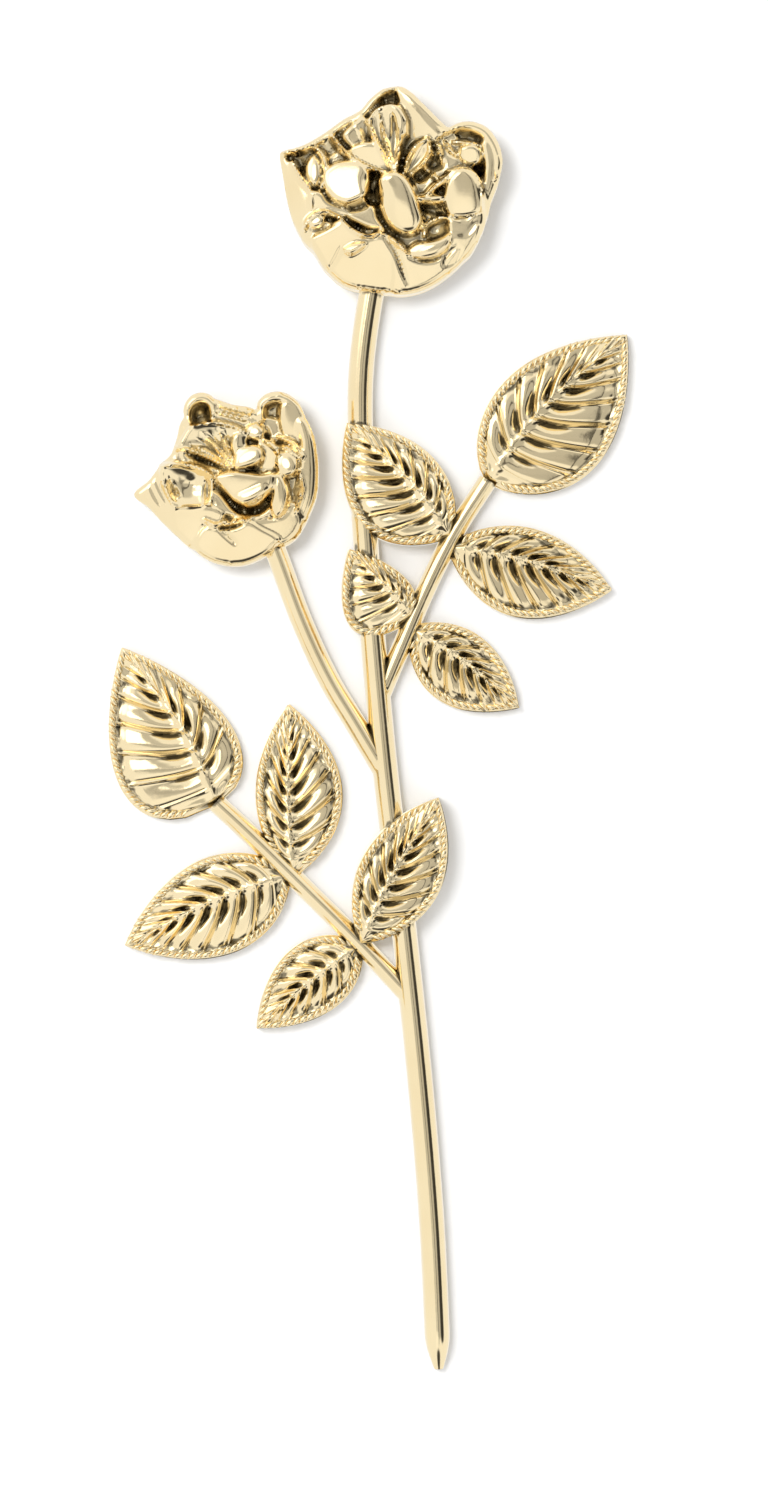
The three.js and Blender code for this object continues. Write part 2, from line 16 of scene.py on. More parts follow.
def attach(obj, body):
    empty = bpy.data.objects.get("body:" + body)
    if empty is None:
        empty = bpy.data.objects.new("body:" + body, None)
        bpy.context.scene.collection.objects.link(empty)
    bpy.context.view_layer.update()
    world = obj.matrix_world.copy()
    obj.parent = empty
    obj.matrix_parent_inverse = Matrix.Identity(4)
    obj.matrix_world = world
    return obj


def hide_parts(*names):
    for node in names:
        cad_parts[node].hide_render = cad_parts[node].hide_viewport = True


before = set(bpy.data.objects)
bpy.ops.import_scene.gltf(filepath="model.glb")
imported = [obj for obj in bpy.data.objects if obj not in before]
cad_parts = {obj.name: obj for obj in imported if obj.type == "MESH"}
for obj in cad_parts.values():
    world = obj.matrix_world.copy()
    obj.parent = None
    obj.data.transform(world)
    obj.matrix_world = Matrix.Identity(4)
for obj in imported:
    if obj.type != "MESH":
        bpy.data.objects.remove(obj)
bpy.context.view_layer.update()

# %% [markdown]
# The photograph looks straight at the front, from far enough away that nothing leans. A long
# lens does the same. Its distance is set so that the picture is 371 mm tall at the back plane,
# with the origin in the middle.

# %% Camera
MM = 0.001
LENS = 100.0
SENSOR = 36.0
PICTURE_HEIGHT = 371.25 * MM


def put_in_scene(name, data):
    made = bpy.data.objects.new(name, data)
    bpy.context.scene.collection.objects.link(made)
    return made


camera_data = bpy.data.cameras.new("camera")
camera_data.lens = LENS
camera_data.sensor_width = SENSOR
camera_distance = PICTURE_HEIGHT * LENS / SENSOR
camera = put_in_scene("camera", camera_data)
camera.location = (0, -camera_distance, 0)
camera.rotation_euler = (math.radians(90), 0, 0)
bpy.context.scene.camera = camera
print("camera distance in m:", round(camera_distance, 3))

# %% [markdown]
# Everything on the casting follows curves on the back plane. One helper draws a smooth curve
# through a few points, the same kind of curve as the CAD model uses, and another measures how
# far each spot of a surface is from such a curve. Lengths are millimetres until a mesh is made,
# and a third helper makes a clean closed mesh in metres.

# %% Curves on the back plane
NEVER_ZERO = 1e-9
MERGE_WITHIN = 2e-6
DISSOLVE_BELOW = 1e-6


def smooth_path(points, closed=False, per_span=10):
    """Points along a centripetal Catmull-Rom curve through the given points."""
    points = np.asarray(points, float)
    if closed:
        row = np.vstack([points[-1:], points, points[:2]])
        spans = len(points)
    else:
        row = np.vstack([2 * points[:1] - points[1:2], points, 2 * points[-1:] - points[-2:-1]])
        spans = len(points) - 1
    w = (np.arange(per_span) / per_span)[:, None]
    out = []
    for p0, p1, p2, p3 in (row[i : i + 4] for i in range(spans)):
        pairs = ((p0, p1), (p1, p2), (p2, p3))
        d0, d1, d2 = (np.linalg.norm(b - a) ** 0.5 + NEVER_ZERO for a, b in pairs)
        m1 = ((p1 - p0) / d0 - (p2 - p0) / (d0 + d1) + (p2 - p1) / d1) * d1
        m2 = ((p2 - p1) / d1 - (p3 - p1) / (d1 + d2) + (p3 - p2) / d2) * d1
        square, cube = 3 * (p2 - p1) - 2 * m1 - m2, 2 * (p1 - p2) + m1 + m2
        out.append(p1 + m1 * w + square * w**2 + cube * w**3)
    if not closed:
        out.append(points[-1:])
    return np.vstack(out)


def distance_to(path, x, z, closed):
    """Distance of spots from a path, the share of the path at the nearest point, and inside."""
    starts, ends = (path, np.roll(path, -1, 0)) if closed else (path[:-1], path[1:])
    best = np.full(x.shape, np.inf)
    share = np.zeros(x.shape)
    inside = np.zeros(x.shape, bool)
    for i, ((ax, az), (bx, bz)) in enumerate(zip(starts, ends)):
        ex, ez = bx - ax, bz - az
        t = np.clip(((x - ax) * ex + (z - az) * ez) / (ex * ex + ez * ez + NEVER_ZERO**2), 0, 1)
        d = (x - ax - t * ex) ** 2 + (z - az - t * ez) ** 2
        nearer = d < best
        best = np.where(nearer, d, best)
        share = np.where(nearer, (i + t) / len(starts), share)
        if closed and az != bz:
            inside ^= ((az > z) != (bz > z)) & (x < ex * (z - az) / ez + ax)
    return np.sqrt(best), share, inside


def mesh_object(name, corners_mm, faces):
    """An object in metres from corners in mm, its faces turned outward."""
    mesh = bpy.data.meshes.new(name)
    mesh.from_pydata((np.asarray(corners_mm) * MM).tolist(), [], faces)
    shell = bmesh.new()
    shell.from_mesh(mesh)
    bmesh.ops.remove_doubles(shell, verts=shell.verts, dist=MERGE_WITHIN)
    bmesh.ops.dissolve_degenerate(shell, edges=shell.edges, dist=DISSOLVE_BELOW)
    bmesh.ops.recalc_face_normals(shell, faces=shell.faces)
    shell.to_mesh(mesh)
    shell.free()
    return put_in_scene(name, mesh)

# %% [markdown]
# ## Rose heads
# Each bloom is a relief: seen from the front every spot has one height. A sculptor would model
# it in clay by laying petals over each other, pressing hollows and drawing creases with a tool.
# The same is done here. A petal is a face inside a smooth outline with a rolled lip and a steep
# wall. The bloom's height is the highest petal at each spot, with soft fillets where petals
# meet.

# %% Petals
BLOOM_UNIT = 0.25
LIP_DROP = 0.6
LIP_WIDTH = 0.9
LIP_SHARE = 0.8
WALL_SLOPE = 3.6
FILLET = 0.4
CROWN_REACH = 1.3


def soft_max(a, b):
    """The higher of two heights, with a small fillet where they meet."""
    overlap = np.maximum(FILLET - np.abs(a - b), 0) / FILLET
    return np.maximum(a, b) + overlap**2 * FILLET / 4


def petal_height(petal, x, z):
    """Height of one petal in mm, and how deep each spot lies inside its outline."""
    loop = smooth_path(np.array(petal["outline"]) * BLOOM_UNIT, closed=True)
    distance, _, inside = distance_to(loop, x, z, True)
    depth = np.where(inside, distance, -distance)
    middle = loop.mean(0)
    _, axes = np.linalg.eigh(np.cov((loop - middle).T))
    spread = np.abs((loop - middle) @ axes).max(0)
    spots = np.stack([x - middle[0], z - middle[1]], -1)
    fullness = (((spots @ axes) / spread) ** 2).sum(-1)
    face = petal["top"] + spots @ np.array(petal.get("tilt", (0, 0)))
    face -= petal.get("crown", 0) * np.minimum(fullness, CROWN_REACH)
    face -= petal.get("bowl", 0) * np.clip(1 - fullness, 0, 1)
    width = min(petal.get("lip", LIP_WIDTH), LIP_SHARE * depth.max())
    lip = petal.get("drop", LIP_DROP) * (1 - np.clip(depth / width, 0, 1)) ** 2
    return face - lip - WALL_SLOPE * np.maximum(-depth, 0), depth

# %% [markdown]
# Folds, creases and dents are what the modelling tool leaves. A fold is a raised stroke, a
# crease a pressed stroke and a dent a pressed oval. A stroke is full in its middle and thinner
# toward both ends.

# %% Strokes and the whole bloom
STROKE_TIP_SHARE = 0.45
STROKE_TIP = 0.02
FOLD_ROUNDING = 0.9
NO_METAL = -9.0


def bell(share):
    """1 in the middle, fading smoothly to 0 on both sides."""
    return np.exp(-(share**2))


def stroke_reach(path, width, x, z):
    """Distance of each spot from a stroke, its half width there and the share of its length."""
    path = smooth_path(np.array(path) * BLOOM_UNIT)
    distance, share, _ = distance_to(path, x, z, False)
    thinning = np.sin(np.pi * np.clip(share, STROKE_TIP, 1 - STROKE_TIP))
    half = width / 2 * (STROKE_TIP_SHARE + (1 - STROKE_TIP_SHARE) * thinning)
    return distance, half, share


def bloom_height(bloom, x, z):
    """Height in mm over the back, and the depth inside the bloom's whole outline."""
    height = np.full(x.shape, NO_METAL)
    depth = np.full(x.shape, NO_METAL)
    for petal in bloom["petals"]:
        made, inner = petal_height(petal, x, z)
        height = soft_max(height, made)
        depth = np.maximum(depth, inner)
    for path, width, top in bloom["folds"]:
        distance, half, _ = stroke_reach(path, width, x, z)
        ridge = top - FOLD_ROUNDING * np.minimum(distance / half, 1) ** 2
        height = soft_max(height, ridge - WALL_SLOPE * np.maximum(distance - half, 0))
        depth = np.maximum(depth, half - distance)
    for path, width, deep in bloom["creases"]:
        distance, half, share = stroke_reach(path, width, x, z)
        height -= deep * bell(distance / half) * np.sqrt(np.sin(np.pi * share))
    for dent_x, dent_z, along, across, turn, deep in bloom["dents"]:
        dx, dz = x - dent_x * BLOOM_UNIT, z - dent_z * BLOOM_UNIT
        c, s = math.cos(math.radians(turn)), math.sin(math.radians(turn))
        oval = ((dx * c + dz * s) / along) ** 2 + ((-dx * s + dz * c) / across) ** 2
        height -= deep * np.exp(-(oval**1.5))
    return height * bloom["relief"], depth

# %% [markdown]
# The relief becomes a mesh on a square grid. Where the bloom's outline cuts a square, the
# square is cut along it, so the silhouette is smooth.

# %% Grid of a bloom
GRID = 0.4
GRID_REACH_X, GRID_REACH_Z = 30.0, 29.0
OWN_WEIGHT = 5
LEAST_DEPTH = 0.1


def bloom_grid(bloom):
    """Grid lines of a bloom, and its heights, a little softened, and depths at their crossings."""
    xs = np.arange(-GRID_REACH_X, GRID_REACH_X, GRID)
    zs = np.arange(-GRID_REACH_Z, GRID_REACH_Z, GRID)
    height, depth = bloom_height(bloom, *np.meshgrid(xs, zs, indexing="ij"))
    solid = (depth > 0).astype(float)
    ways = ((1, 0), (-1, 0), (0, 1), (0, -1))
    around = sum(np.roll(height * solid, way, (0, 1)) for way in ways)
    neighbours = sum(np.roll(solid, way, (0, 1)) for way in ways)
    height = (OWN_WEIGHT * height + around) / (OWN_WEIGHT + neighbours)
    least = LEAST_DEPTH * GRID
    depth = np.where(np.abs(depth) < least, np.where(depth < 0, -least, least), depth)
    return xs, zs, height, depth


def cut_squares(xs, zs, height, depth):
    """The squares inside the outline, cut along it: corners, their heights, faces and the rim.

    A corner on the outline has no height yet, and the rim gives for each one the next.
    """
    spots, tops, index = [], [], {}

    def corner(key, spot, top):
        if key not in index:
            index[key] = len(spots)
            spots.append(spot)
            tops.append(top)
        return index[key]

    def crossing(a, b):
        key = tuple(sorted((a, b)))
        (i, k), (j, m) = key
        t = depth[i, k] / (depth[i, k] - depth[j, m])
        spot = (xs[i] + (xs[j] - xs[i]) * t, zs[k] + (zs[m] - zs[k]) * t)
        return corner(key, spot, math.nan)

    faces, rim = [], {}
    inside = depth > 0
    touched = inside[:-1, :-1] | inside[1:, :-1] | inside[:-1, 1:] | inside[1:, 1:]
    for i, k in np.argwhere(touched):
        ring = ((i, k), (i + 1, k), (i + 1, k + 1), (i, k + 1))
        face, cuts = [], []
        for a, b in zip(ring, ring[1:] + ring[:1]):
            if inside[a]:
                face.append(corner(a, (xs[a[0]], zs[a[1]]), height[a]))
            if inside[a] != inside[b]:
                face.append(crossing(a, b))
                cuts.append((face[-1], inside[a]))
        faces.append(face)
        if len(cuts) == 2:
            (p, leaves), (q, _) = cuts
            rim[p if leaves else q] = q if leaves else p
        elif cuts:
            raise ValueError("the outline touches itself in one square")
    return np.array(spots), np.array(tops), faces, rim


def rim_in_order(rim):
    loop = [next(iter(rim))]
    while rim[loop[-1]] != loop[0]:
        loop.append(rim[loop[-1]])
    assert len(loop) == len(rim), "the outline is more than one loop"
    return loop

# %% [markdown]
# A casting has no sharp edge there, so the relief sinks a little toward the outline. A slightly
# rounded wall runs from the outline to the flat back.

# %% Wall and back
EDGE_REACH = 1.7
EDGE_DROP = 1.0
EDGE_ROUNDS = 2
WALL_ROUNDS, WALL_TOP_ROUNDS = 10, 20
WALL_STEPS = ((0.004, 0.72), (0.012, 0.36), (0.0, 0.0))


def evened(ring, rounds):
    """A closed row of points with each one drawn toward its neighbours."""
    for _ in range(rounds):
        ring = 0.5 * ring + 0.25 * (np.roll(ring, 1, 0) + np.roll(ring, -1, 0))
    return ring


def bloom_solid(name, bloom):
    spots, tops, faces, rim = cut_squares(*bloom_grid(bloom))
    cut = np.flatnonzero(np.isnan(tops))
    tops[cut], _ = bloom_height(bloom, *spots[cut].T)
    from_edge = np.sqrt(((spots[:, None] - spots[cut][None, ::2]) ** 2).sum(-1).min(1))
    tops -= EDGE_DROP * (1 - np.clip(from_edge / EDGE_REACH, 0, 1)) ** 2
    loop = rim_in_order(rim)
    spots[loop], tops[loop] = evened(spots[loop], EDGE_ROUNDS), evened(tops[loop], EDGE_ROUNDS)
    corners = np.column_stack([spots[:, 0], -tops, spots[:, 1]])
    wall, wall_tops = evened(spots[loop], WALL_ROUNDS), evened(tops[loop], WALL_TOP_ROUNDS)
    rings = [loop]
    for inset, level in WALL_STEPS:
        rings.append(list(range(len(corners), len(corners) + len(loop))))
        ring = wall * (1 - inset)
        corners = np.vstack([corners, np.column_stack([ring[:, 0], -wall_tops * level, ring[:, 1]])])
    for upper, lower in zip(rings, rings[1:]):
        for n in range(len(loop)):
            m = (n + 1) % len(loop)
            faces.append([upper[m], upper[n], lower[n], lower[m]])
    faces.append(rings[-1])
    middle_x, middle_z = bloom["middle"]
    made = mesh_object(name, corners + np.array([middle_x, 0, middle_z]), faces)
    print(name, "faces:", len(made.data.polygons), "highest mm:", round(float(tops.max()), 2))
    return made

# %% [markdown]
# ### The upper rose
# It has open outer petals that slope out and down, a round swelling petal at the left, a
# heart-shaped bud under the upper lip and a tall petal that stands in the middle. Outlines and
# strokes are in quarter millimetres about its middle, heights are in mm, and a tilt is the rise
# to the right and the rise upward. A face tilted TO_SOFTBOX looks up to the left and mirrors
# the brightest part of the tent, so it shines white.

# %% Upper rose
TO_SOFTBOX = (0.17, -0.17)

UPPER_PETALS = [
    # bed under the whole bloom
    dict(top=8.3, crown=0.4, outline=[
        (4, 76), (-38, 66), (-60, 46), (-73, 14), (-90, -8), (-72, -54), (-38, -84), (4, -93),
        (47, -84), (82, -54), (99, -8), (82, 22), (66, 56), (48, 64)]),
    # hollow behind the top petal
    dict(top=4.8, tilt=(0, 0.55), outline=[
        (-25, 73), (-14, 89), (-2, 97), (12, 98), (16, 76), (4, 64), (-18, 62)]),
    # hollow behind the left corner
    dict(top=5.6, tilt=(0.1, 0.5), outline=[
        (-107, 35), (-83, 41), (-60, 52), (-52, 30), (-66, 6), (-82, -2), (-96, 18)]),
    # hollow of the right lobe
    dict(top=4.4, tilt=(0, 0.5), outline=[
        (62, 56), (82, 60), (101, 48), (106, 27), (98, 6), (78, 12), (64, 32)]),
    # left outer petal
    dict(top=8.8, tilt=(0.3, 0.02), crown=0.4, outline=[
        (-107, 35), (-104, 10), (-100, -13), (-93, -36), (-80, -55), (-72, -50), (-73, -34),
        (-74, -18), (-78, -4), (-86, 8), (-95, 22)]),
    # lower left outer petal
    dict(top=8.9, tilt=(0.2, 0.2), crown=0.3, outline=[
        (-86, -49), (-74, -63), (-60, -83), (-48, -76), (-42, -58), (-46, -42), (-60, -34),
        (-76, -38)]),
    # bottom left outer petal
    dict(top=9.9, tilt=(0.03, 0.25), crown=0.3, outline=[
        (-76, -51), (-61, -41), (-46, -34), (-36, -43), (-22, -51), (-4, -49), (6, -62), (13, -78),
        (20, -92), (20, -99), (2, -104), (-22, -102), (-43, -97), (-60, -83)]),
    # bottom right outer petal
    dict(top=9.7, tilt=(-0.08, 0.22), crown=0.3, outline=[
        (-2, -50), (10, -57), (26, -71), (44, -73), (58, -64), (64, -47), (78, -47), (90, -36),
        (91, -50), (77, -70), (59, -87), (40, -99), (20, -105), (4, -104), (4, -86), (2, -66)]),
    # flat patch at the lower right
    dict(top=9.8, tilt=(-0.12, 0.12), crown=0.3, outline=[
        (61, -31), (75, -33), (90, -22), (97, -30), (91, -50), (77, -70), (66, -56), (60, -44)]),
    # right outer petal
    dict(top=9, tilt=(-0.05, 0.1), crown=0.6, outline=[
        (97, -32), (103, -12), (110, 6), (112, 26), (106, 45), (96, 55), (93, 42), (96, 22),
        (93, -3), (89, -24)]),
    # top outer petal
    dict(top=9.9, tilt=(0.14, 0.1), crown=1.0, outline=[
        (59, 58), (48, 70), (34, 84), (20, 97), (8, 101), (10, 88), (15, 74), (19, 58), (26, 46),
        (38, 44), (52, 49)]),
    # round inner petal
    dict(top=12.8, tilt=TO_SOFTBOX, crown=0.15, lip=1.0, drop=1, outline=[
        (-64, 14), (-56, 22), (-41, 26), (-26, 23), (-19, 12), (-19, -2), (-26, -14), (-39, -18),
        (-54, -13), (-63, -1)]),
    # shoulder above the round petal
    dict(top=8.8, outline=[
        (-60, 39), (-46, 45), (-35, 38), (-38, 28), (-50, 24), (-60, 25)]),
    # bright strip of the left inner petal
    dict(top=9.8, tilt=(0.2, -0.17), crown=0.2, outline=[
        (-81, 24), (-74, 33), (-68, 26), (-67, 10), (-73, 1), (-81, 10)]),
    # left inner petal
    dict(top=10.2, tilt=(0.1, 0.28), crown=0.3, outline=[
        (-77, -5), (-66, -6), (-60, -14), (-48, -20), (-38, -22), (-38, -33), (-47, -34),
        (-60, -30), (-76, -30)]),
    # middle inner petal
    dict(top=10.4, tilt=(0.02, -0.06), outline=[
        (-40, -22), (-26, -16), (-14, -17), (-11, -30), (-3, -44), (-8, -50), (-20, -45),
        (-32, -38), (-42, -32)]),
    # upper face of the left wing
    dict(top=10.4, tilt=(-0.3, 0.2), crown=0.2, outline=[
        (-44, 50), (-33, 62), (-24, 69), (-18, 57), (-12, 42), (-22, 34), (-35, 38)]),
    # lower face of the left wing
    dict(top=11.6, tilt=(0.05, 0.3), crown=0.3, outline=[
        (-38, 36), (-22, 43), (-10, 41), (2, 26), (9, 13), (-6, 15), (-20, 20), (-32, 27)]),
    # left petal of the bud
    dict(top=12, tilt=(0.1, 0.1), bowl=0.6, outline=[
        (-19, 66), (-10, 76), (1, 79), (4, 64), (3, 46), (5, 30), (8, 13), (-2, 26), (-10, 40),
        (-16, 54)]),
    # heart of the bud
    dict(top=11.6, tilt=(-0.15, -0.05), bowl=0.6, outline=[
        (-8, 64), (0, 72), (8, 66), (11, 52), (9, 34), (7, 17), (1, 34), (-4, 48)]),
    # right petal of the bud
    dict(top=12.4, tilt=(0.1, 0.25), crown=0.3, outline=[
        (1, 79), (10, 77), (16, 68), (17, 56), (14, 42), (11, 28), (8, 13), (7, 30), (9, 48),
        (7, 66)]),
    # right wing of the bud
    dict(top=11, tilt=(-0.1, 0.2), bowl=0.9, outline=[
        (39, 48), (40, 34), (34, 22), (24, 13), (16, 14), (19, 28), (28, 40)]),
    # standing middle petal
    dict(top=13.6, tilt=(0.05, 0.16), crown=1.1, lip=1.4, drop=1, outline=[
        (-9, 7), (-3, 12), (7, 14), (17, 9), (25, -3), (30, -18), (34, -33), (30, -43), (20, -47),
        (8, -44), (-2, -34), (-8, -19), (-10, -4)]),
    # right inner petal
    dict(top=12, tilt=(0.02, 0.15), crown=0.6, outline=[
        (57, -3), (62, 9), (73, 17), (84, 11), (91, -4), (92, -24), (83, -33), (65, -32), (56, -17)]),
    # bright face between the middle and the right petal
    dict(top=11.0, tilt=TO_SOFTBOX, crown=0.2, outline=[
        (25, -8), (36, -7), (52, -9), (54, -14), (38, -17), (26, -14)]),
    # small upper right petal
    dict(top=9.8, tilt=(0, 0.35), outline=[
        (72, 38), (84, 41), (91, 37), (91, 25), (80, 21), (73, 26)]),
    # curled lower petal
    dict(top=11.6, tilt=(0.15, -0.17), crown=0.9, outline=[
        (19, -63), (28, -55), (42, -54), (54, -50), (61, -45), (61, -56), (51, -67), (37, -71),
        (24, -69)]),
    # lens on the left scroll
    dict(top=10.8, tilt=TO_SOFTBOX, outline=[
        (-80, -33), (-71, -27), (-63, -30), (-66, -38), (-76, -40)]),
    # lens on the bottom left petal
    dict(top=11.9, tilt=TO_SOFTBOX, outline=[
        (-44, -63), (-34, -56), (-22, -57), (-30, -64), (-38, -67)]),
]
# path, width and top
UPPER_FOLDS = [
    ([(-105, 34), (-83, 40), (-62, 51), (-43, 64), (-25, 74), (-14, 87), (-3, 96), (10, 99)], 2.0, 9.4),
    ([(60, 57), (71, 61), (83, 61), (96, 55), (105, 43), (110, 26), (108, 8)], 2.6, 9.8),
    ([(-95, 25), (-86, 9), (-77, -4), (-75, -20)], 1.0, 10.6),
    ([(-71, 38), (-64, 31), (-62, 15), (-67, -2)], 1.5, 10.8),
    ([(-83, -42), (-77, -31), (-64, -25), (-47, -31)], 1.2, 11.2),
    ([(-47, -32), (-37, -42), (-23, -49), (-4, -47)], 1.3, 12.1),
    ([(-4, -47), (6, -54), (20, -66)], 1.2, 11.8),
    ([(-55, 50), (-44, 36), (-31, 25), (-12, 16), (7, 13)], 1.0, 12.3),
    ([(-33, 63), (-27, 52), (-20, 38)], 0.9, 11.4),
    ([(-19, 65), (-15, 50), (-6, 33), (7, 13)], 1.0, 13.0),
    ([(-8, 70), (-5, 52), (1, 33), (8, 14)], 0.8, 12.8),
    ([(9, 70), (12, 52), (10, 32), (8, 14)], 0.9, 12.9),
    ([(-19, 62), (-12, 73), (-1, 78), (10, 75), (17, 65), (17, 52)], 1.0, 12.9),
    ([(39, 47), (28, 40), (20, 28), (16, 14)], 0.9, 12.2),
    ([(39, 47), (41, 34), (34, 21), (22, 12)], 0.9, 12.2),
    ([(47, 46), (51, 36), (52, 26)], 1.3, 9.8),
    ([(56, 46), (62, 36), (72, 30)], 1.2, 9.4),
    ([(64, 45), (78, 44), (92, 42)], 1.2, 9.6),
    ([(25, -11), (38, -13), (54, -11)], 1.7, 11.6),
    ([(38, -8), (46, -1), (56, 7), (68, 17)], 1.4, 11.6),
    ([(42, 14), (50, 8), (56, 10)], 1.2, 9.6),
    ([(60, 14), (74, 18), (86, 12), (92, -4), (93, -24)], 0.8, 11.6),
    ([(32, 82), (44, 68), (58, 54)], 1.1, 10.2),
    ([(26, 78), (38, 64), (50, 52)], 0.9, 10.0),
    ([(36, -48), (38, -38), (50, -31), (62, -30)], 1.2, 10.4),
]
# path, width and depth
UPPER_CREASES = [
    ([(-3, -49), (8, -66), (20, -97)], 1.1, 1.0),
    ([(-78, -51), (-62, -42), (-46, -35)], 1.0, 0.9),
    ([(-60, -83), (-51, -70), (-45, -56)], 0.9, 0.5),
    ([(-44, -29), (-34, -37), (-20, -43), (-7, -42)], 1.5, 2.6),
    ([(55, -79), (59, -67), (70, -58)], 0.9, 0.7),
    ([(55, -79), (66, -74), (73, -61)], 0.8, 0.6),
    ([(60, -29), (76, -31), (92, -26)], 1.0, 1.2),
]
# middle x and z, half length and half width in mm, turn in degrees, depth
UPPER_DENTS = [
    (-15, -4, 1.8, 4.0, 20, 1.6),
    (-28, -18, 3.0, 1.2, 20, 1.0),
    (46, -40, 2.6, 2.6, 0, 1.8),
    (46, 24, 2.0, 1.6, 0, 2.2),
    (33, 12, 1.6, 1.4, 40, 2.2),
    (44, -22, 2.2, 1.2, -20, 2.0),
    (-56, 36, 1.6, 1.0, 30, 1.2),
]
UPPER_ROSE = {
    "middle": (1.0, 137.6),
    "relief": 1.0,
    # share of painted shade in this rose's hollows
    "painted_shade_share": 0.68,
    "petals": UPPER_PETALS,
    "folds": UPPER_FOLDS,
    "creases": UPPER_CREASES,
    "dents": UPPER_DENTS,
}

upper_rose = bloom_solid("upper_rose", UPPER_ROSE)

# %% [markdown]
# ### The lower rose
# It is smaller and more open: two round lobes with dark hollows at the top, an open cup with
# fine folds, a bowl at the left and a broad smooth petal at the bottom.

# %% Lower rose
LOWER_PETALS = [
    # bed under the whole bloom
    dict(top=8.0, crown=0.4, outline=[
        (6, 64), (-25, 64), (-45, 44), (-64, 14), (-70, -21), (-45, -51), (-10, -71), (22, -71),
        (55, -56), (72, -31), (78, 4), (72, 44), (45, 64)]),
    # hollow of the left lobe
    dict(top=4.8, tilt=(0, 0.55), outline=[
        (-42, 60), (-40, 76), (-28, 84), (-17, 78), (-14, 60), (-28, 50)]),
    # hollow of the right lobe
    dict(top=5.2, tilt=(0, 0.55), outline=[
        (32, 64), (33, 78), (45, 84), (60, 78), (66, 60), (48, 50)]),
    # left corner petal
    dict(top=8.2, tilt=(0.22, 0.1), crown=0.3, outline=[
        (-95, -12), (-80, 2), (-66, 17), (-61, 6), (-58, -12), (-51, -32), (-48, -55), (-65, -41),
        (-81, -24)]),
    # lower left outer petal
    dict(top=9.3, tilt=(0.1, 0.22), crown=0.3, outline=[
        (-56, -22), (-34, -24), (-14, -25), (-4, -32), (-12, -42), (-25, -44), (-31, -54),
        (-33, -67), (-50, -55), (-58, -38)]),
    # bottom outer petal
    dict(top=9.4, tilt=(0, 0.25), crown=0.3, outline=[
        (-34, -66), (-30, -52), (-22, -44), (-8, -46), (6, -42), (20, -39), (34, -46), (50, -57),
        (42, -69), (25, -79), (10, -83), (-6, -82), (-21, -77)]),
    # lower right outer petal
    dict(top=9, tilt=(-0.12, 0.2), crown=0.3, outline=[
        (18, -38), (36, -37), (54, -33), (63, -20), (71, -30), (73, -46), (64, -58), (50, -64),
        (34, -52)]),
    # right outer petal
    dict(top=9.4, tilt=(-0.05, 0.1), crown=0.6, outline=[
        (72, -46), (81, -30), (87, -14), (89, 6), (88, 28), (84, 48), (75, 64), (67, 60), (72, 39),
        (70, 14), (66, -6), (65, -28)]),
    # top right petal
    dict(top=9.4, tilt=(0.02, 0.12), crown=0.4, outline=[
        (54, 80), (66, 76), (76, 62), (78, 45), (66, 38), (54, 46), (50, 64)]),
    # left side petal
    dict(top=8.2, tilt=(0.2, 0), crown=0.4, outline=[
        (-70, 16), (-58, 28), (-52, 44), (-48, 60), (-40, 68), (-36, 54), (-40, 38), (-48, 24),
        (-62, 12)]),
    # top middle petal
    dict(top=9.3, tilt=(0.05, 0.2), crown=0.3, outline=[
        (-17, 82), (4, 77), (24, 73), (34, 64), (28, 54), (10, 52), (-14, 54), (-20, 68)]),
    # open inner cup
    dict(top=11, tilt=(0, 0.1), bowl=2, outline=[
        (-37, 55), (-16, 57), (6, 53), (18, 47), (14, 32), (6, 15), (-8, 9), (-28, 14), (-46, 21),
        (-46, 40)]),
    # small petal in the cup
    dict(top=11.4, tilt=(-0.25, 0.2), crown=0.3, outline=[
        (6, 46), (12, 49), (18, 40), (15, 28), (8, 24), (3, 34)]),
    # upper bright petal
    dict(top=11, tilt=TO_SOFTBOX, crown=0.2, outline=[
        (18, 55), (28, 58), (35, 50), (30, 43), (19, 45)]),
    # middle bright petal
    dict(top=12.4, tilt=TO_SOFTBOX, crown=0.4, outline=[
        (8, 30), (20, 36), (32, 33), (32, 22), (20, 15), (6, 14)]),
    # right bright petal
    dict(top=11.4, tilt=TO_SOFTBOX, crown=0.5, outline=[
        (48, 29), (60, 30), (68, 20), (65, 9), (54, 6), (47, 16)]),
    # floor between the bright petals
    dict(top=9.6, tilt=(0.1, 0.25), outline=[
        (30, 42), (44, 36), (48, 22), (44, 10), (32, 10), (30, 24)]),
    # open left petal
    dict(top=11.2, tilt=(0, 0.1), bowl=3.0, outline=[
        (-66, 14), (-46, 16), (-26, 11), (-16, 5), (-16, -8), (-18, -22), (-36, -24), (-54, -24),
        (-59, -10), (-66, 2)]),
    # broad middle petal
    dict(top=12.6, tilt=(0.02, 0.2), crown=0.6, outline=[
        (-13, 4), (0, 9), (16, 8), (32, 6), (45, 7), (43, -8), (33, -20), (20, -25), (8, -21),
        (-4, -9)]),
    # bright lip of the middle petal
    dict(top=13, tilt=TO_SOFTBOX, crown=0.3, outline=[
        (6, -13), (20, -6), (35, 0), (38, -8), (26, -18), (12, -21)]),
    # flat piece left of the middle petal
    dict(top=9.6, tilt=(0, -0.05), outline=[
        (-15, -9), (-7, -13), (6, -27), (12, -34), (-4, -32), (-15, -25)]),
    # low fold under the middle
    dict(top=9.8, crown=0.2, outline=[
        (12, -31), (32, -31), (42, -24), (42, -34), (20, -38), (4, -36)]),
    # right curled petal
    dict(top=12.2, tilt=(0.1, 0.05), crown=0.7, outline=[
        (42, 6), (50, 8), (57, -2), (60, -16), (56, -28), (47, -35), (42, -26), (43, -10)]),
]
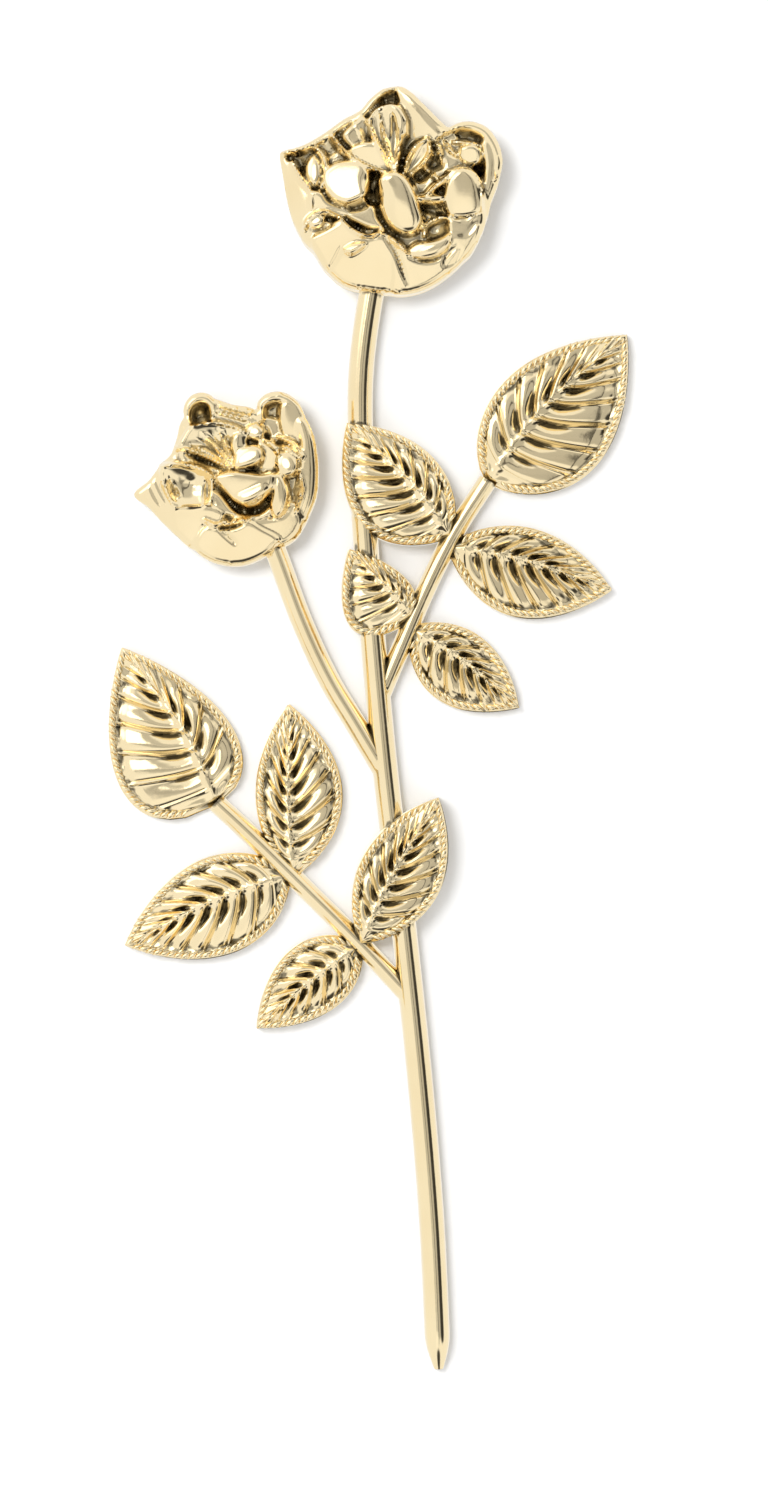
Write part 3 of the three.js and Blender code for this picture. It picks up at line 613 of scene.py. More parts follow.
LOWER_FOLDS = [
    ([(-40, 56), (-41, 74), (-33, 83), (-22, 83), (-15, 75), (-17, 60)], 2.6, 9.6),
    ([(32, 62), (32, 77), (41, 84), (54, 84), (66, 77), (74, 65)], 2.6, 9.8),
    ([(-38, 54), (-16, 58), (6, 54), (19, 48)], 1.0, 12.0),
    ([(3, 16), (-12, 34), (-28, 50)], 0.8, 10.6),
    ([(5, 17), (-3, 36), (-10, 53)], 0.8, 10.8),
    ([(7, 18), (6, 36), (4, 50)], 0.8, 11.0),
    ([(2, 15), (-16, 26), (-38, 38)], 0.9, 10.8),
    ([(-52, 34), (-34, 30), (-16, 22), (2, 13)], 1.0, 11.8),
    ([(-66, 15), (-46, 17), (-26, 12), (-15, 5)], 1.1, 12.2),
    ([(-67, 4), (-61, -10), (-53, -27)], 1.0, 10.4),
    ([(-62, 12), (-56, -2), (-50, -14)], 0.9, 10.2),
    ([(-54, -24), (-36, -25), (-17, -23)], 0.9, 10.6),
    ([(-24, -38), (-13, -43), (-3, -39)], 1.3, 11.2),
    ([(-3, -43), (8, -40), (20, -37)], 1.2, 11.4),
    ([(-42, 48), (-46, 37), (-36, 28)], 1.2, 10.8),
    ([(34, 42), (44, 36), (50, 26)], 1.4, 11.6),
    ([(50, 44), (62, 40), (74, 25)], 1.1, 10.8),
    ([(46, 35), (59, 33), (72, 22)], 1.0, 11.2),
    ([(-10, 77), (8, 71), (26, 67)], 1.0, 10.2),
    ([(-14, 70), (4, 65), (22, 60)], 0.9, 9.8),
    ([(70, 12), (72, -8), (66, -30)], 0.9, 10.4),
]
LOWER_CREASES = [
    ([(-9, -48), (0, -54), (8, -63)], 1.1, 1.0),
    ([(-44, 29), (-26, 22), (-2, 11)], 1.1, 2.2),
    ([(-16, 5), (-5, -11), (9, -27), (26, -29), (39, -17), (44, -6)], 1.6, 2.6),
    ([(57, 3), (61, -13), (55, -29)], 1.0, 1.8),
    ([(-61, 6), (-56, -6), (-52, -20)], 1.1, 1.4),
    ([(-22, 4), (-21, -8), (-22, -21)], 1.6, 1.8),
    ([(-11, -47), (4, -44), (16, -41)], 1.1, 2.0),
    ([(-80, 1), (-74, -12), (-66, -26)], 0.8, 0.5),
    ([(-74, 6), (-68, -8), (-60, -22)], 0.8, 0.5),
    ([(36, 56), (38, 46), (40, 38)], 1.2, 1.6),
    ([(4, 16), (-8, 34), (-20, 50)], 0.9, 0.9),
    ([(6, 18), (1, 36), (-3, 51)], 0.9, 0.9),
    ([(2, 15), (-14, 30), (-34, 44)], 0.9, 0.9),
    ([(3, 15), (-20, 27), (-40, 36)], 0.8, 0.8),
    ([(5, 17), (-4, 36), (-12, 53)], 0.7, 0.6),
    ([(-14, 74), (4, 69), (24, 64)], 0.9, 0.8),
]
LOWER_DENTS = [
    (-28, 66, 2.2, 2.0, 0, 1.0),
    (-33, 0, 2.4, 1.6, 20, 0.6),
]
LOWER_ROSE = {
    "middle": (-38.5, 64.6),
    "relief": 0.9,
    # share of painted shade in this rose's hollows
    "painted_shade_share": 0.57,
    "petals": LOWER_PETALS,
    "folds": LOWER_FOLDS,
    "creases": LOWER_CREASES,
    "dents": LOWER_DENTS,
}

lower_rose = bloom_solid("lower_rose", LOWER_ROSE)

# %% [markdown]
# ## Leaves
# A leaf has a raised midrib, thin raised veins with a panel between each two, and a raised rim
# inside a plain border. The mesh follows the veins: its rows run along them from the midrib to
# the rim, so every vein is a clean line. Rows lie closer where a panel climbs steeply.

# %% Leaf rows and outline
TIP_SHARPNESS = 0.95
FIRST_VEIN, LAST_VEIN = 0.07, 0.95
FOOT_ROWS = ((0.0, 0.5), (0.015, 0.5), (0.035, 0.7), (0.055, 0.93))
PANEL_ROWS = (0, 0.05, 0.1, 0.15, 0.24, 0.36, 0.5, 0.62, 0.72, 0.79, 0.85, 0.9, 0.95)
TIP_ROWS = ((LAST_VEIN, 0.0), (0.96, 0.15), (0.975, 0.3), (0.99, 0.5), (1.0, 0.5))


def leaf_outline(share, roundness):
    """Half width at a share of the leaf's length, as a share of the widest."""
    widest = roundness / (roundness + TIP_SHARPNESS)
    greatest = widest**roundness * (1 - widest) ** TIP_SHARPNESS
    return share**roundness * (1 - share) ** TIP_SHARPNESS / greatest


def leaf_rows(veins):
    """Stations along the midrib, and where in its panel each one lies."""
    pitch = (LAST_VEIN - FIRST_VEIN) / veins
    panels = [(FIRST_VEIN + (i + f) * pitch, f) for i in range(veins) for f in PANEL_ROWS]
    return np.array([*FOOT_ROWS, *panels, *TIP_ROWS]).T

# %% [markdown]
# Past each vein the panel swells to a low crest, sinks toward the next vein and climbs a short
# steep wall to it. A fine groove runs past the vein, and a small pit lies before the wall near
# the midrib. These are what catches the light in rows on a real cast leaf. Heights are in mm.

# %% Panels and veins
FULL_PITCH = 4.5
CREST_AT, CREST_RISE = 0.3, 0.3
WALL_DROP, WALL_DROP_INNER = 0.35, 0.6
WALL_RUN, WALL_RUN_INNER = 0.45, 0.95
WALL_INNER_AT, WALL_INNER_REACH = 0.27, 0.18
VEIN_RISE, VEIN_RISE_INNER = 0.4, 0.35
VEIN_HALF, VEIN_HALF_INNER = 0.24, 0.36
VEIN_ROOT_REACH = 0.18
VEIN_GROOVE, GROOVE_FROM_VEIN, GROOVE_HALF = 0.4, 0.55, 0.22
PIT_DEPTH, PIT_FROM_VEIN, PIT_HALF = 1.0, 0.85, 0.48


def ease(share):
    """0 to 1 with a soft start and end."""
    share = np.clip(share, 0, 1)
    return share * share * (3 - 2 * share)


def panel_height(s, phase, pitch):
    """Height of the panels, veins, grooves and pits, from midrib (s = 0) to rim (s = 1)."""
    room = min(pitch / FULL_PITCH, 1)
    past, before = phase * pitch, (1 - phase) * pitch
    inner = bell((s - WALL_INNER_AT) / WALL_INNER_REACH)
    drop = WALL_DROP + WALL_DROP_INNER * inner
    run = (WALL_RUN + WALL_RUN_INNER * inner) * room / pitch
    panel = CREST_RISE * ease(phase / CREST_AT)
    panel = panel - (CREST_RISE + drop) * ease((phase - CREST_AT) / (1 - run - CREST_AT))
    panel = panel + drop * ease((phase - 1 + run) / run)
    root = bell(s / VEIN_ROOT_REACH)
    vein_half = VEIN_HALF + VEIN_HALF_INNER * root
    vein = (VEIN_RISE + VEIN_RISE_INNER * root) * bell(np.minimum(past, before) / vein_half)
    groove = VEIN_GROOVE * bell((past - GROOVE_FROM_VEIN * room) / GROOVE_HALF)
    pit = PIT_DEPTH * inner * bell((before / room - PIT_FROM_VEIN) / PIT_HALF)
    return room * (panel + vein - groove - pit)

# %% [markdown]
# Each half of a leaf is a sheet of rows and columns from the midrib over the rim to the border.
# The midrib has a small knot at every vein, and the blade sinks from it to the rim.

# %% Half a leaf
BORDER_WIDTH, BORDER_AT_TIP, BORDER_HEIGHT = 1.5, 1.8, 0.9
RIM_HEIGHT = 2.7
RIM_GROOVE, RIM_GROOVE_IN, RIM_GROOVE_HALF = 0.6, 1.0, 0.55
MIDRIB_HEIGHT, MIDRIB_SHORT_OF_TIP = 4.6, 2.4
MIDRIB_RISE, MIDRIB_HALF, MIDRIB_KNOTS = 0.9, 0.85, 0.3
VEIN_LEAN, VEIN_SAG = 0.25, 1.4
BLADE_SAG, BLADE_SWELL = 1.5, 0.5
CLEAR_OF_RIB, CLEAR_OF_RIM = 0.9, 1.2
BLADE_COLUMNS = (0, 0.035, 0.075, 0.12, 0.18, 0.26, 0.35, 0.45, 0.55, 0.65, 0.74, 0.82, 0.88, 0.93, 0.97, 1)
BORDER_COLUMNS = ((0.18, 0.94), (0.42, 0.6), (0.7, 0.22), (0.92, 0.03), (1.0, 0.0))


def leaf_half(leaf, side):
    """Along, across and height of one half of a leaf, as rows by columns."""
    length, widest = leaf["length"], leaf["half"][0 if side > 0 else 1]
    t, phase = (v[:, None] for v in leaf_rows(leaf["veins"]))
    share = t + VEIN_LEAN * np.sin(np.pi * t)
    fullness = np.sqrt(np.abs(np.sin(np.pi * t)))
    edge_along = share * length
    edge_across = leaf_outline(share, leaf["round"]) * widest
    rim_along = BORDER_WIDTH + share * (length - BORDER_WIDTH - BORDER_AT_TIP)
    rim_across = edge_across * (1 - BORDER_WIDTH / widest)
    rib_along = BORDER_WIDTH + t * (length - BORDER_WIDTH - MIDRIB_SHORT_OF_TIP)
    rib_across = side * leaf["bow"] * np.sin(np.pi * t)

    s = np.array(BLADE_COLUMNS)[None, :]
    along = rib_along + (rim_along - rib_along) * s**VEIN_SAG
    across = rib_across + (rim_across - rib_across) * s
    from_rib = np.abs(rim_across - rib_across) * s
    from_rim = np.abs(rim_across - rib_across) * (1 - s)
    rib_height = RIM_HEIGHT + (MIDRIB_HEIGHT - MIDRIB_RISE - RIM_HEIGHT) * fullness
    height = rib_height + (RIM_HEIGHT - rib_height) * s**BLADE_SAG
    height = height + BLADE_SWELL * fullness * np.sin(np.pi * s)
    knots = MIDRIB_KNOTS * np.cos(2 * np.pi * phase)
    height = height + (MIDRIB_RISE + knots) * fullness * bell(from_rib / MIDRIB_HALF)
    swell = np.clip(from_rib / CLEAR_OF_RIB, 0, 1) * np.clip(from_rim / CLEAR_OF_RIM, 0, 1) * fullness
    pitch = (LAST_VEIN - FIRST_VEIN) / leaf["veins"] * length
    height = height + swell * panel_height(s, phase, pitch)
    height = height - RIM_GROOVE * fullness * bell((from_rim - RIM_GROOVE_IN) / RIM_GROOVE_HALF)

    for w, level in BORDER_COLUMNS:
        along = np.hstack([along, rim_along + (edge_along - rim_along) * w])
        across = np.hstack([across, rim_across + (edge_across - rim_across) * w])
        border = BORDER_HEIGHT + (RIM_HEIGHT - BORDER_HEIGHT) * level
        height = np.hstack([height, np.full(t.shape, border)])
    along = np.hstack([along, edge_along])
    across = np.hstack([across, edge_across])
    height = np.hstack([height, np.zeros(t.shape)])
    return np.stack([along, side * across, height], -1)

# %% [markdown]
# A leaf is closed by joining its two halves to the flat back, and set on its stem at a share of
# the stem's length.

# %% A leaf on its stem
def stem_spot(points, share):
    """The point at a share of a stem's length."""
    path = smooth_path(points, per_span=40)
    lengths = np.concatenate([[0], np.cumsum(np.linalg.norm(np.diff(path, axis=0), axis=1))])
    return np.array([np.interp(share * lengths[-1], lengths, path[:, i]) for i in (0, 1)])


def place_leaf(stem, leaf, shape):
    """Leaf coordinates to x, y, z in mm."""
    foot, turn = stem_spot(stem, leaf["at"]), math.radians(leaf["turn"])
    along, across, height = shape[..., 0], shape[..., 1], shape[..., 2]
    low, high = leaf["lift"]
    lifted = np.where(height > 0, height + low + (high - low) * along / leaf["length"], 0)
    x = foot[0] + along * math.cos(turn) - across * math.sin(turn)
    z = foot[1] + along * math.sin(turn) + across * math.cos(turn)
    return np.stack([x, -lifted, z], -1)


def leaf_solid(name, stem, leaf):
    left, right = leaf_half(leaf, 1), leaf_half(leaf, -1)
    rings = place_leaf(stem, leaf, np.hstack([left[:, ::-1], right[:, 1:]]))
    rows, columns = rings.shape[:2]
    faces = []
    for i in range(rows - 1):
        for k in range(columns):
            m = (k + 1) % columns
            faces.append([i * columns + k, i * columns + m, (i + 1) * columns + m, (i + 1) * columns + k])
    return mesh_object(name, rings.reshape(-1, 3), faces)

# %% [markdown]
# The leaves spring from the two spray stems. Each is given by its place on the stem, its length,
# direction, half widths, roundness, bow, number of veins and how far it is lifted where it lies
# over the main stem. Lengths and places are those of the CAD model, in thousandths of the
# spray's height, and lifts are in mm.

# %% Leaves on their stems
SPRAY_UNIT = 319.3 / 1000
MAIN_STEM = SPRAY_UNIT * np.array([
    (42.9, -489.8), (37.3, -373.9), (28.2, -264.3), (14.9, -139.1), (0, -11.3), (-11, 111.5),
    (-17.5, 213), (-18, 288.1), (-10, 350.8), (-3.1, 382.1),
])
SIDE_STEM = SPRAY_UNIT * np.array([
    (1.6, -25.1), (-22.5, 15), (-43.2, 49.5), (-63.9, 94), (-82.1, 142.8), (-97.1, 181.6),
])
RIGHT_SPRAY = SPRAY_UNIT * np.array([(-4.7, 31.3), (11, 68.6), (32.6, 119), (55.1, 164.1), (81.1, 204.8)])
LEFT_SPRAY = SPRAY_UNIT * np.array([
    (17.5, -196.1), (-18.8, -157.2), (-62.6, -113.4), (-106.5, -70.2), (-131.5, -47),
])
FLAT = (0, 0)
LEAF_TABLE = {
    "right": (RIGHT_SPRAY, [
        (0.99, 159.7, 46.4, (44.5, 53.2), 0.68, 8.1, 8, FLAT),
        (0.73, 120.6, 133, (45.7, 31.3), 0.78, -4.7, 8, (2, 5)),
        (0.69, 133.4, -15, (30.7, 40.1), 0.85, 4.7, 8, FLAT),
        (0.37, 73.3, 134, (40.7, 16.9), 0.55, -1.6, 6, (2, 5)),
        (0.33, 106.5, -36.5, (26.9, 32.6), 0.82, 3.8, 7, FLAT),
    ]),
    "left": (LEFT_SPRAY, [
        (0.99, 144.1, 121.5, (58.3, 41.3), 0.45, -7.5, 7, FLAT),
        (0.6, 135.6, 91.5, (28.2, 40.1), 0.85, 2.5, 8, FLAT),
        (0.62, 140.9, 203.5, (39.5, 37.6), 0.72, -4.7, 8, FLAT),
        (0.25, 130, 62, (30.7, 35.1), 0.88, 3.8, 8, (3, 5)),
        (0.25, 104.6, 219, (26.3, 31), 0.7, -2.5, 7, FLAT),
    ]),
}

leaves = []
rim_lines = []
for side_name, (stem, table) in LEAF_TABLE.items():
    for number, (at, length, turn, half, roundness, bow, veins, lift) in enumerate(table, 1):
        leaf = dict(at=at, length=length * SPRAY_UNIT, turn=turn, half=[h * SPRAY_UNIT for h in half],
                    round=roundness, bow=bow * SPRAY_UNIT, veins=veins, lift=lift)
        leaves.append(leaf_solid(f"{side_name}_leaf_{number}", stem, leaf))
        for side in (1, -1):
            rim = leaf_half(leaf, side)[:, len(BLADE_COLUMNS)]
            rim_lines.append(place_leaf(stem, leaf, rim))
print("leaves:", len(leaves), "faces:", sum(len(leaf.data.polygons) for leaf in leaves))

# %% [markdown]
# ## Nodes
# Geometry Nodes and materials are both trees of nodes. A few helpers keep them short: one makes
# a geometry tree with named inputs, one adds a node and links its sockets, and one runs a tree on
# a curve and keeps the result as a plain mesh.

# %% Node helpers
def new_tree(name, sizes):
    """A geometry tree with a geometry input, a Float input for each size, and an output."""
    tree = bpy.data.node_groups.new(name, "GeometryNodeTree")
    tree.interface.new_socket("Geometry", in_out="INPUT", socket_type="NodeSocketGeometry")
    for size, value in sizes.items():
        socket = tree.interface.new_socket(size, in_out="INPUT", socket_type="NodeSocketFloat")
        socket.default_value = value
    tree.interface.new_socket("Material", in_out="INPUT", socket_type="NodeSocketMaterial")
    tree.interface.new_socket("Geometry", in_out="OUTPUT", socket_type="NodeSocketGeometry")
    return tree, tree.nodes.new("NodeGroupInput").outputs, tree.nodes.new("NodeGroupOutput")


def add(tree, kind, links=None, **settings):
    """A node with its properties set and its inputs linked, or set where a plain value is given."""
    node = tree.nodes.new(kind)
    for key, value in settings.items():
        setattr(node, key, value)
    for socket, source in (links or {}).items():
        if isinstance(source, bpy.types.NodeSocket):
            tree.links.new(source, node.inputs[socket])
        else:
            node.inputs[socket].default_value = source
    return node


def math_node(tree, operation, a, b=0.0, clamp=False):
    return add(tree, "ShaderNodeMath", {0: a, 1: b}, operation=operation, use_clamp=clamp).outputs[0]


def close_tree(tree, geometry, given, result):
    """Ends a geometry tree: instances are made real and the material is set."""
    real = add(tree, "GeometryNodeRealizeInstances", {"Geometry": geometry}).outputs[0]
    coloured = add(tree, "GeometryNodeSetMaterial", {"Geometry": real, "Material": given["Material"]})
    tree.links.new(coloured.outputs[0], result.inputs["Geometry"])


def run_tree(thing, tree, values):
    """Runs a tree on an object and returns the result as a plain mesh object."""
    modifier = thing.modifiers.new(tree.name, "NODES")
    modifier.node_group = tree
    names = {item.name: item.identifier for item in tree.interface.items_tree if item.in_out == "INPUT"}
    for name, value in values.items():
        modifier[names[name]] = value
    evaluated = thing.evaluated_get(bpy.context.evaluated_depsgraph_get())
    made = put_in_scene(thing.name, bpy.data.meshes.new_from_object(evaluated))
    bpy.data.objects.remove(thing)
    return made


def curve_object(name, points_mm):
    """A poly curve through x, y, z points."""
    data = bpy.data.curves.new(name, "CURVE")
    data.dimensions = "3D"
    spline = data.splines.new("POLY")
    spline.points.add(len(points_mm) - 1)
    for spot, (x, y, z) in zip(spline.points, np.asarray(points_mm) * MM):
        spot.co = (x, y, z, 1)
    return put_in_scene(name, data)

# %% [markdown]
# ## Stems
# A stem has the same half round section all along its curve, flat side to the back, so it is a
# job for Geometry Nodes: the curve is cut into even steps, the section is swept along it and
# made smaller toward the foot. The tree has named inputs for the stem's width, height, foot and
# step.

# %% Stem tree
STEM_STEP = 1.5
STEM_SIDES = 18
SECTION_POWER = 0.8
FRONT = (0, -1, 0)

section_angles = np.linspace(0, np.pi, STEM_SIDES + 1)
section = curve_object("stem_section", [
    (1000 * math.sin(a) ** SECTION_POWER, -500 * math.cos(a), 0) for a in section_angles
])
section.data.splines[0].use_cyclic_u = True

stem_tree, given, result = new_tree("stem", {
    "Width": 0.0063, "Height": 0.0056, "Foot Share": 1.0, "Foot Length": 0.009, "Step": STEM_STEP * MM,
})
even = add(stem_tree, "GeometryNodeResampleCurve", {
    "Curve": given["Geometry"], "Length": given["Step"],
}, mode="LENGTH").outputs["Curve"]
upright = add(stem_tree, "GeometryNodeSetCurveNormal", {
    "Curve": even, "Normal": FRONT,
}, mode="FREE").outputs["Curve"]
distance = add(stem_tree, "GeometryNodeSplineParameter").outputs["Length"]
grown = math_node(stem_tree, "DIVIDE", distance, given["Foot Length"], clamp=True)
eased = math_node(stem_tree, "SINE", math_node(stem_tree, "MULTIPLY", grown, math.pi / 2))
rest = math_node(stem_tree, "SUBTRACT", 1.0, given["Foot Share"])
thickness = math_node(stem_tree, "ADD", given["Foot Share"], math_node(stem_tree, "MULTIPLY", rest, eased))
profile = add(stem_tree, "GeometryNodeObjectInfo", {"Object": section}).outputs["Geometry"]
scale = add(stem_tree, "ShaderNodeCombineXYZ", {"X": given["Height"], "Y": given["Width"], "Z": 1.0})
sized = add(stem_tree, "GeometryNodeTransform", {"Geometry": profile, "Scale": scale.outputs[0]})
swept = add(stem_tree, "GeometryNodeCurveToMesh", {
    "Curve": upright, "Profile Curve": sized.outputs["Geometry"], "Scale": thickness, "Fill Caps": True,
})
close_tree(stem_tree, swept.outputs["Mesh"], given, result)
print("stem tree:", len(stem_tree.nodes), "nodes")

# %% [markdown]
# The tree runs once for each stem. The main stem is the thickest and ends in a thin foot.

# %% Stems
def stem_solid(name, points, width, height, foot_share=1.0):
    path = smooth_path(points, per_span=24)
    line = curve_object(name, [(x, 0, z) for x, z in path])
    made = run_tree(line, stem_tree, {"Width": width * MM, "Height": height * MM, "Foot Share": foot_share})
    print(name, "faces:", len(made.data.polygons))
    return made


stems = [
    stem_solid("main_stem", MAIN_STEM, 6.3, 5.6, 2.4 / 6.3),
    stem_solid("side_stem", SIDE_STEM, 5.4, 5.0),
    stem_solid("right_spray_stem", RIGHT_SPRAY, 4.8, 4.3),
    stem_solid("left_spray_stem", LEFT_SPRAY, 4.8, 4.3),
]
bpy.data.objects.remove(section)

# %% [markdown]
# ## Corded leaf rims
# The raised rim of each leaf is finely toothed, like a twisted cord. Hundreds of small slanted
# beads in a row make it: Geometry Nodes sets points along the rim at an even pitch, turns each
# bead with the rim, adds the slant and makes the row real geometry.

# %% Rim tree
BEAD_RING = 6
BEAD_ROWS = 5
SLANT = 30.0
SLANT_SEED, SIZE_SEED = 3, 8

rim_tree, given, result = new_tree("leaf_rim", {
    "Pitch": 0.0017, "Bead Length": 0.0036, "Bead Width": 0.00125, "Bead Height": 0.0016, "Slant": SLANT,
    "Unevenness": 0.3,
})
spots = add(rim_tree, "GeometryNodeCurveToPoints", {
    "Curve": given["Geometry"], "Length": given["Pitch"],
}, mode="LENGTH").outputs
bead = add(rim_tree, "GeometryNodeMeshUVSphere", {"Segments": BEAD_RING, "Rings": BEAD_ROWS, "Radius": 0.5})
along = add(rim_tree, "FunctionNodeAlignRotationToVector", {"Vector": spots["Tangent"]}, axis="X")
upright = add(rim_tree, "FunctionNodeAlignRotationToVector", {
    "Rotation": along.outputs["Rotation"], "Vector": FRONT,
}, axis="Z", pivot_axis="X")
least = math_node(rim_tree, "SUBTRACT", 1.0, given["Unevenness"])
most = math_node(rim_tree, "ADD", 1.0, given["Unevenness"])
slant_chance, size_chance = (
    add(rim_tree, "FunctionNodeRandomValue", {2: least, 3: most, "Seed": seed}).outputs[1]
    for seed in (SLANT_SEED, SIZE_SEED)
)
slant = math_node(rim_tree, "RADIANS", math_node(rim_tree, "MULTIPLY", given["Slant"], slant_chance))
swing = add(rim_tree, "FunctionNodeAxisAngleToRotation", {"Axis": (0, 0, 1), "Angle": slant})
turned = add(rim_tree, "FunctionNodeRotateRotation", {
    "Rotation": upright.outputs["Rotation"], "Rotate By": swing.outputs["Rotation"],
}, rotation_space="LOCAL")
size = add(rim_tree, "ShaderNodeCombineXYZ", {
    "X": given["Bead Length"],
    "Y": math_node(rim_tree, "MULTIPLY", given["Bead Width"], size_chance),
    "Z": math_node(rim_tree, "MULTIPLY", given["Bead Height"], size_chance),
})
row = add(rim_tree, "GeometryNodeInstanceOnPoints", {
    "Points": spots["Points"], "Instance": bead.outputs["Mesh"],
    "Rotation": turned.outputs["Rotation"], "Scale": size.outputs[0],
})
close_tree(rim_tree, row.outputs["Instances"], given, result)
print("rim tree:", len(rim_tree.nodes), "nodes")

# %% [markdown]
# The tree runs once for each side of each leaf, with the slant to the left or to the right. The
# rows stop short of the leaf's foot and tip, where beads would pile up.

# %% Rows of beads
CLEAR_OF_FOOT, CLEAR_OF_TIP = 2.2, 0.4


def cut_ends(line):
    """The part of a rim line that is clear of the leaf's foot and tip."""
    way = np.concatenate([[0], np.cumsum(np.linalg.norm(np.diff(line, axis=0), axis=1))])
    return line[(way > CLEAR_OF_FOOT) & (way < way[-1] - CLEAR_OF_TIP)]


rims = []
for number, line in enumerate(rim_lines):
    rim_curve = curve_object(f"rim_{number}", cut_ends(line))
    rims.append(run_tree(rim_curve, rim_tree, {"Slant": SLANT if number % 2 == 0 else -SLANT}))
print("rim beads:", sum(len(rim.data.polygons) for rim in rims) // (BEAD_RING * BEAD_ROWS))

# %% [markdown]
# ## One casting
# The real spray is one piece of metal, so the parts are united into one closed surface. The
# Manifold solver of the Boolean modifier does that fast and leaves no inner walls. It can leave
# closed crumbs of a few hundredths of a millimetre, so only the largest island is kept.

# %% Unite
def drop_crumbs(mesh):
    """Keeps the largest island of a mesh."""
    shell = bmesh.new()
    shell.from_mesh(mesh)
    unseen = set(shell.verts)
    islands = []
    while unseen:
        island = [unseen.pop()]
        for vert in island:
            for edge in vert.link_edges:
                other = edge.other_vert(vert)
                if other in unseen:
                    unseen.discard(other)
                    island.append(other)
        islands.append(island)
    islands.sort(key=len)
    for crumb in islands[:-1]:
        bmesh.ops.delete(shell, geom=crumb, context="VERTS")
    shell.to_mesh(mesh)
    shell.free()
    print("crumbs dropped:", len(islands) - 1)


def unite(name, parts):
    whole, *others = parts
    for part in others:
        union = whole.modifiers.new("union", "BOOLEAN")
        union.operation = "UNION"
        union.solver = "MANIFOLD"
        union.object = part
    evaluated = whole.evaluated_get(bpy.context.evaluated_depsgraph_get())
    mesh = bpy.data.meshes.new_from_object(evaluated)
    mesh.name = name
    drop_crumbs(mesh)
    for part in parts:
        bpy.data.objects.remove(part)
    return put_in_scene(name, mesh)


SMOOTH_BELOW = 42
rose_spray = unite("cast_rose_spray", [*stems, *leaves, upper_rose, lower_rose, *rims])
rose_spray.data.shade_smooth()
rose_spray.data.set_sharp_from_angle(angle=math.radians(SMOOTH_BELOW))
print("casting triangles:", sum(len(face.vertices) - 2 for face in rose_spray.data.polygons))

# %% [markdown]
# ## Painted shade in the hollows
# The hollows are darkened by painted shade in the gold's colour, which stands in for the shade
# that falls in them. How closed in each spot is, is measured from the relief itself. First a grid
# of heights is taken off the casting, by rays from the front.

# %% Heights of the casting
HEIGHT_GRID = 0.4
GRID_MARGIN = 4.0
NEAR_CELLS = 4

casting = BVHTree.FromPolygons([v.co for v in rose_spray.data.vertices],
                               [face.vertices for face in rose_spray.data.polygons])
corners = np.array([v.co for v in rose_spray.data.vertices]) / MM
first_x, _, first_z = corners.min(0) - GRID_MARGIN
last_x, _, last_z = corners.max(0) + GRID_MARGIN
grid_x = np.arange(first_x, last_x, HEIGHT_GRID)
grid_z = np.arange(first_z, last_z, HEIGHT_GRID)
cells = (corners[:, ::2] - (first_x, first_z)) / HEIGHT_GRID
near = np.zeros((len(grid_x), len(grid_z)), bool)
nearest = np.rint(cells).astype(int)
for dx in range(-NEAR_CELLS, NEAR_CELLS + 1):
    for dz in range(-NEAR_CELLS, NEAR_CELLS + 1):
        near[nearest[:, 0] + dx, nearest[:, 1] + dz] = True
relief = np.zeros(near.shape)
for i, k in np.argwhere(near):
    struck = casting.ray_cast((grid_x[i] * MM, -1, grid_z[k] * MM), (0, 1, 0))[0]
    if struck:
        relief[i, k] = -struck.y / MM
print("grid of heights:", relief.shape, "highest mm:", round(float(relief.max()), 2))

# %% [markdown]
# From each spot of the grid the steepest rise in eight ways is found, and a spot that lies under
# the mean of those around it counts for more. The roses are open, and their painted shade is
# given a smaller share. Spots at the outline look out into the open, so they count as nothing, and
# the back has one even value. The result is kept on the mesh as an attribute that paints shade
# into the gold's colour.

# %% Measure the hollows for painted shade
WAYS = ((1, 0), (1, 1), (0, 1), (-1, 1), (-1, 0), (-1, -1), (0, -1), (1, -1))
RISE_STEPS = (1, 2, 3)
PIT_STEP = 3
PIT_LEAST, PIT_MOST = 0.15, 0.3
PIT_GAIN = 1.6
RELIEF_LEAST = 0.05
BLOOM_REACH = 28
BACK_PAINTED_SHADE = 0.42


def shifted(grid, way, step=1):
    return np.roll(grid, (way[0] * step, way[1] * step), (0, 1))


# How closed in each spot is: this drives the painted shade.
closed = np.zeros(relief.shape)
for way in WAYS:
    rise = np.zeros(relief.shape)
    for step in RISE_STEPS:
        gap = step * HEIGHT_GRID * math.hypot(*way)
        rise = np.maximum(rise, (shifted(relief, way, step) - relief) / gap)
    closed += rise**2 / (1 + rise**2) / len(WAYS)
around = sum(shifted(relief, way, PIT_STEP) for way in WAYS) / len(WAYS)
closed += PIT_GAIN * np.clip(around - relief - PIT_LEAST, 0, PIT_MOST)
# The roses get a smaller share of the painted shade.
for bloom in (UPPER_ROSE, LOWER_ROSE):
    middle_x, middle_z = bloom["middle"]
    in_bloom = np.hypot(grid_x[:, None] - middle_x, grid_z[None, :] - middle_z) < BLOOM_REACH
    closed[in_bloom] *= bloom["painted_shade_share"]
lowest = np.min([relief, *(shifted(relief, way) for way in WAYS)], 0)
closed[lowest < RELIEF_LEAST] = 0

low_cells = np.floor(cells).astype(int)
part = cells - low_cells
hollow = sum(
    closed[low_cells[:, 0] + i, low_cells[:, 1] + k]
    * (part[:, 0] if i else 1 - part[:, 0]) * (part[:, 1] if k else 1 - part[:, 1])
    for i in (0, 1) for k in (0, 1)
)
# The back gets one even amount of painted shade.
hollow[corners[:, 1] > -RELIEF_LEAST] = BACK_PAINTED_SHADE
# The attribute carries the painted shade into the gold's colour.
rose_spray.data.attributes.new("hollow", "FLOAT", "POINT").data.foreach_set("value", hollow)
print("hollow, middle and 95th of 100:", np.round(np.percentile(hollow, (50, 95)), 2))
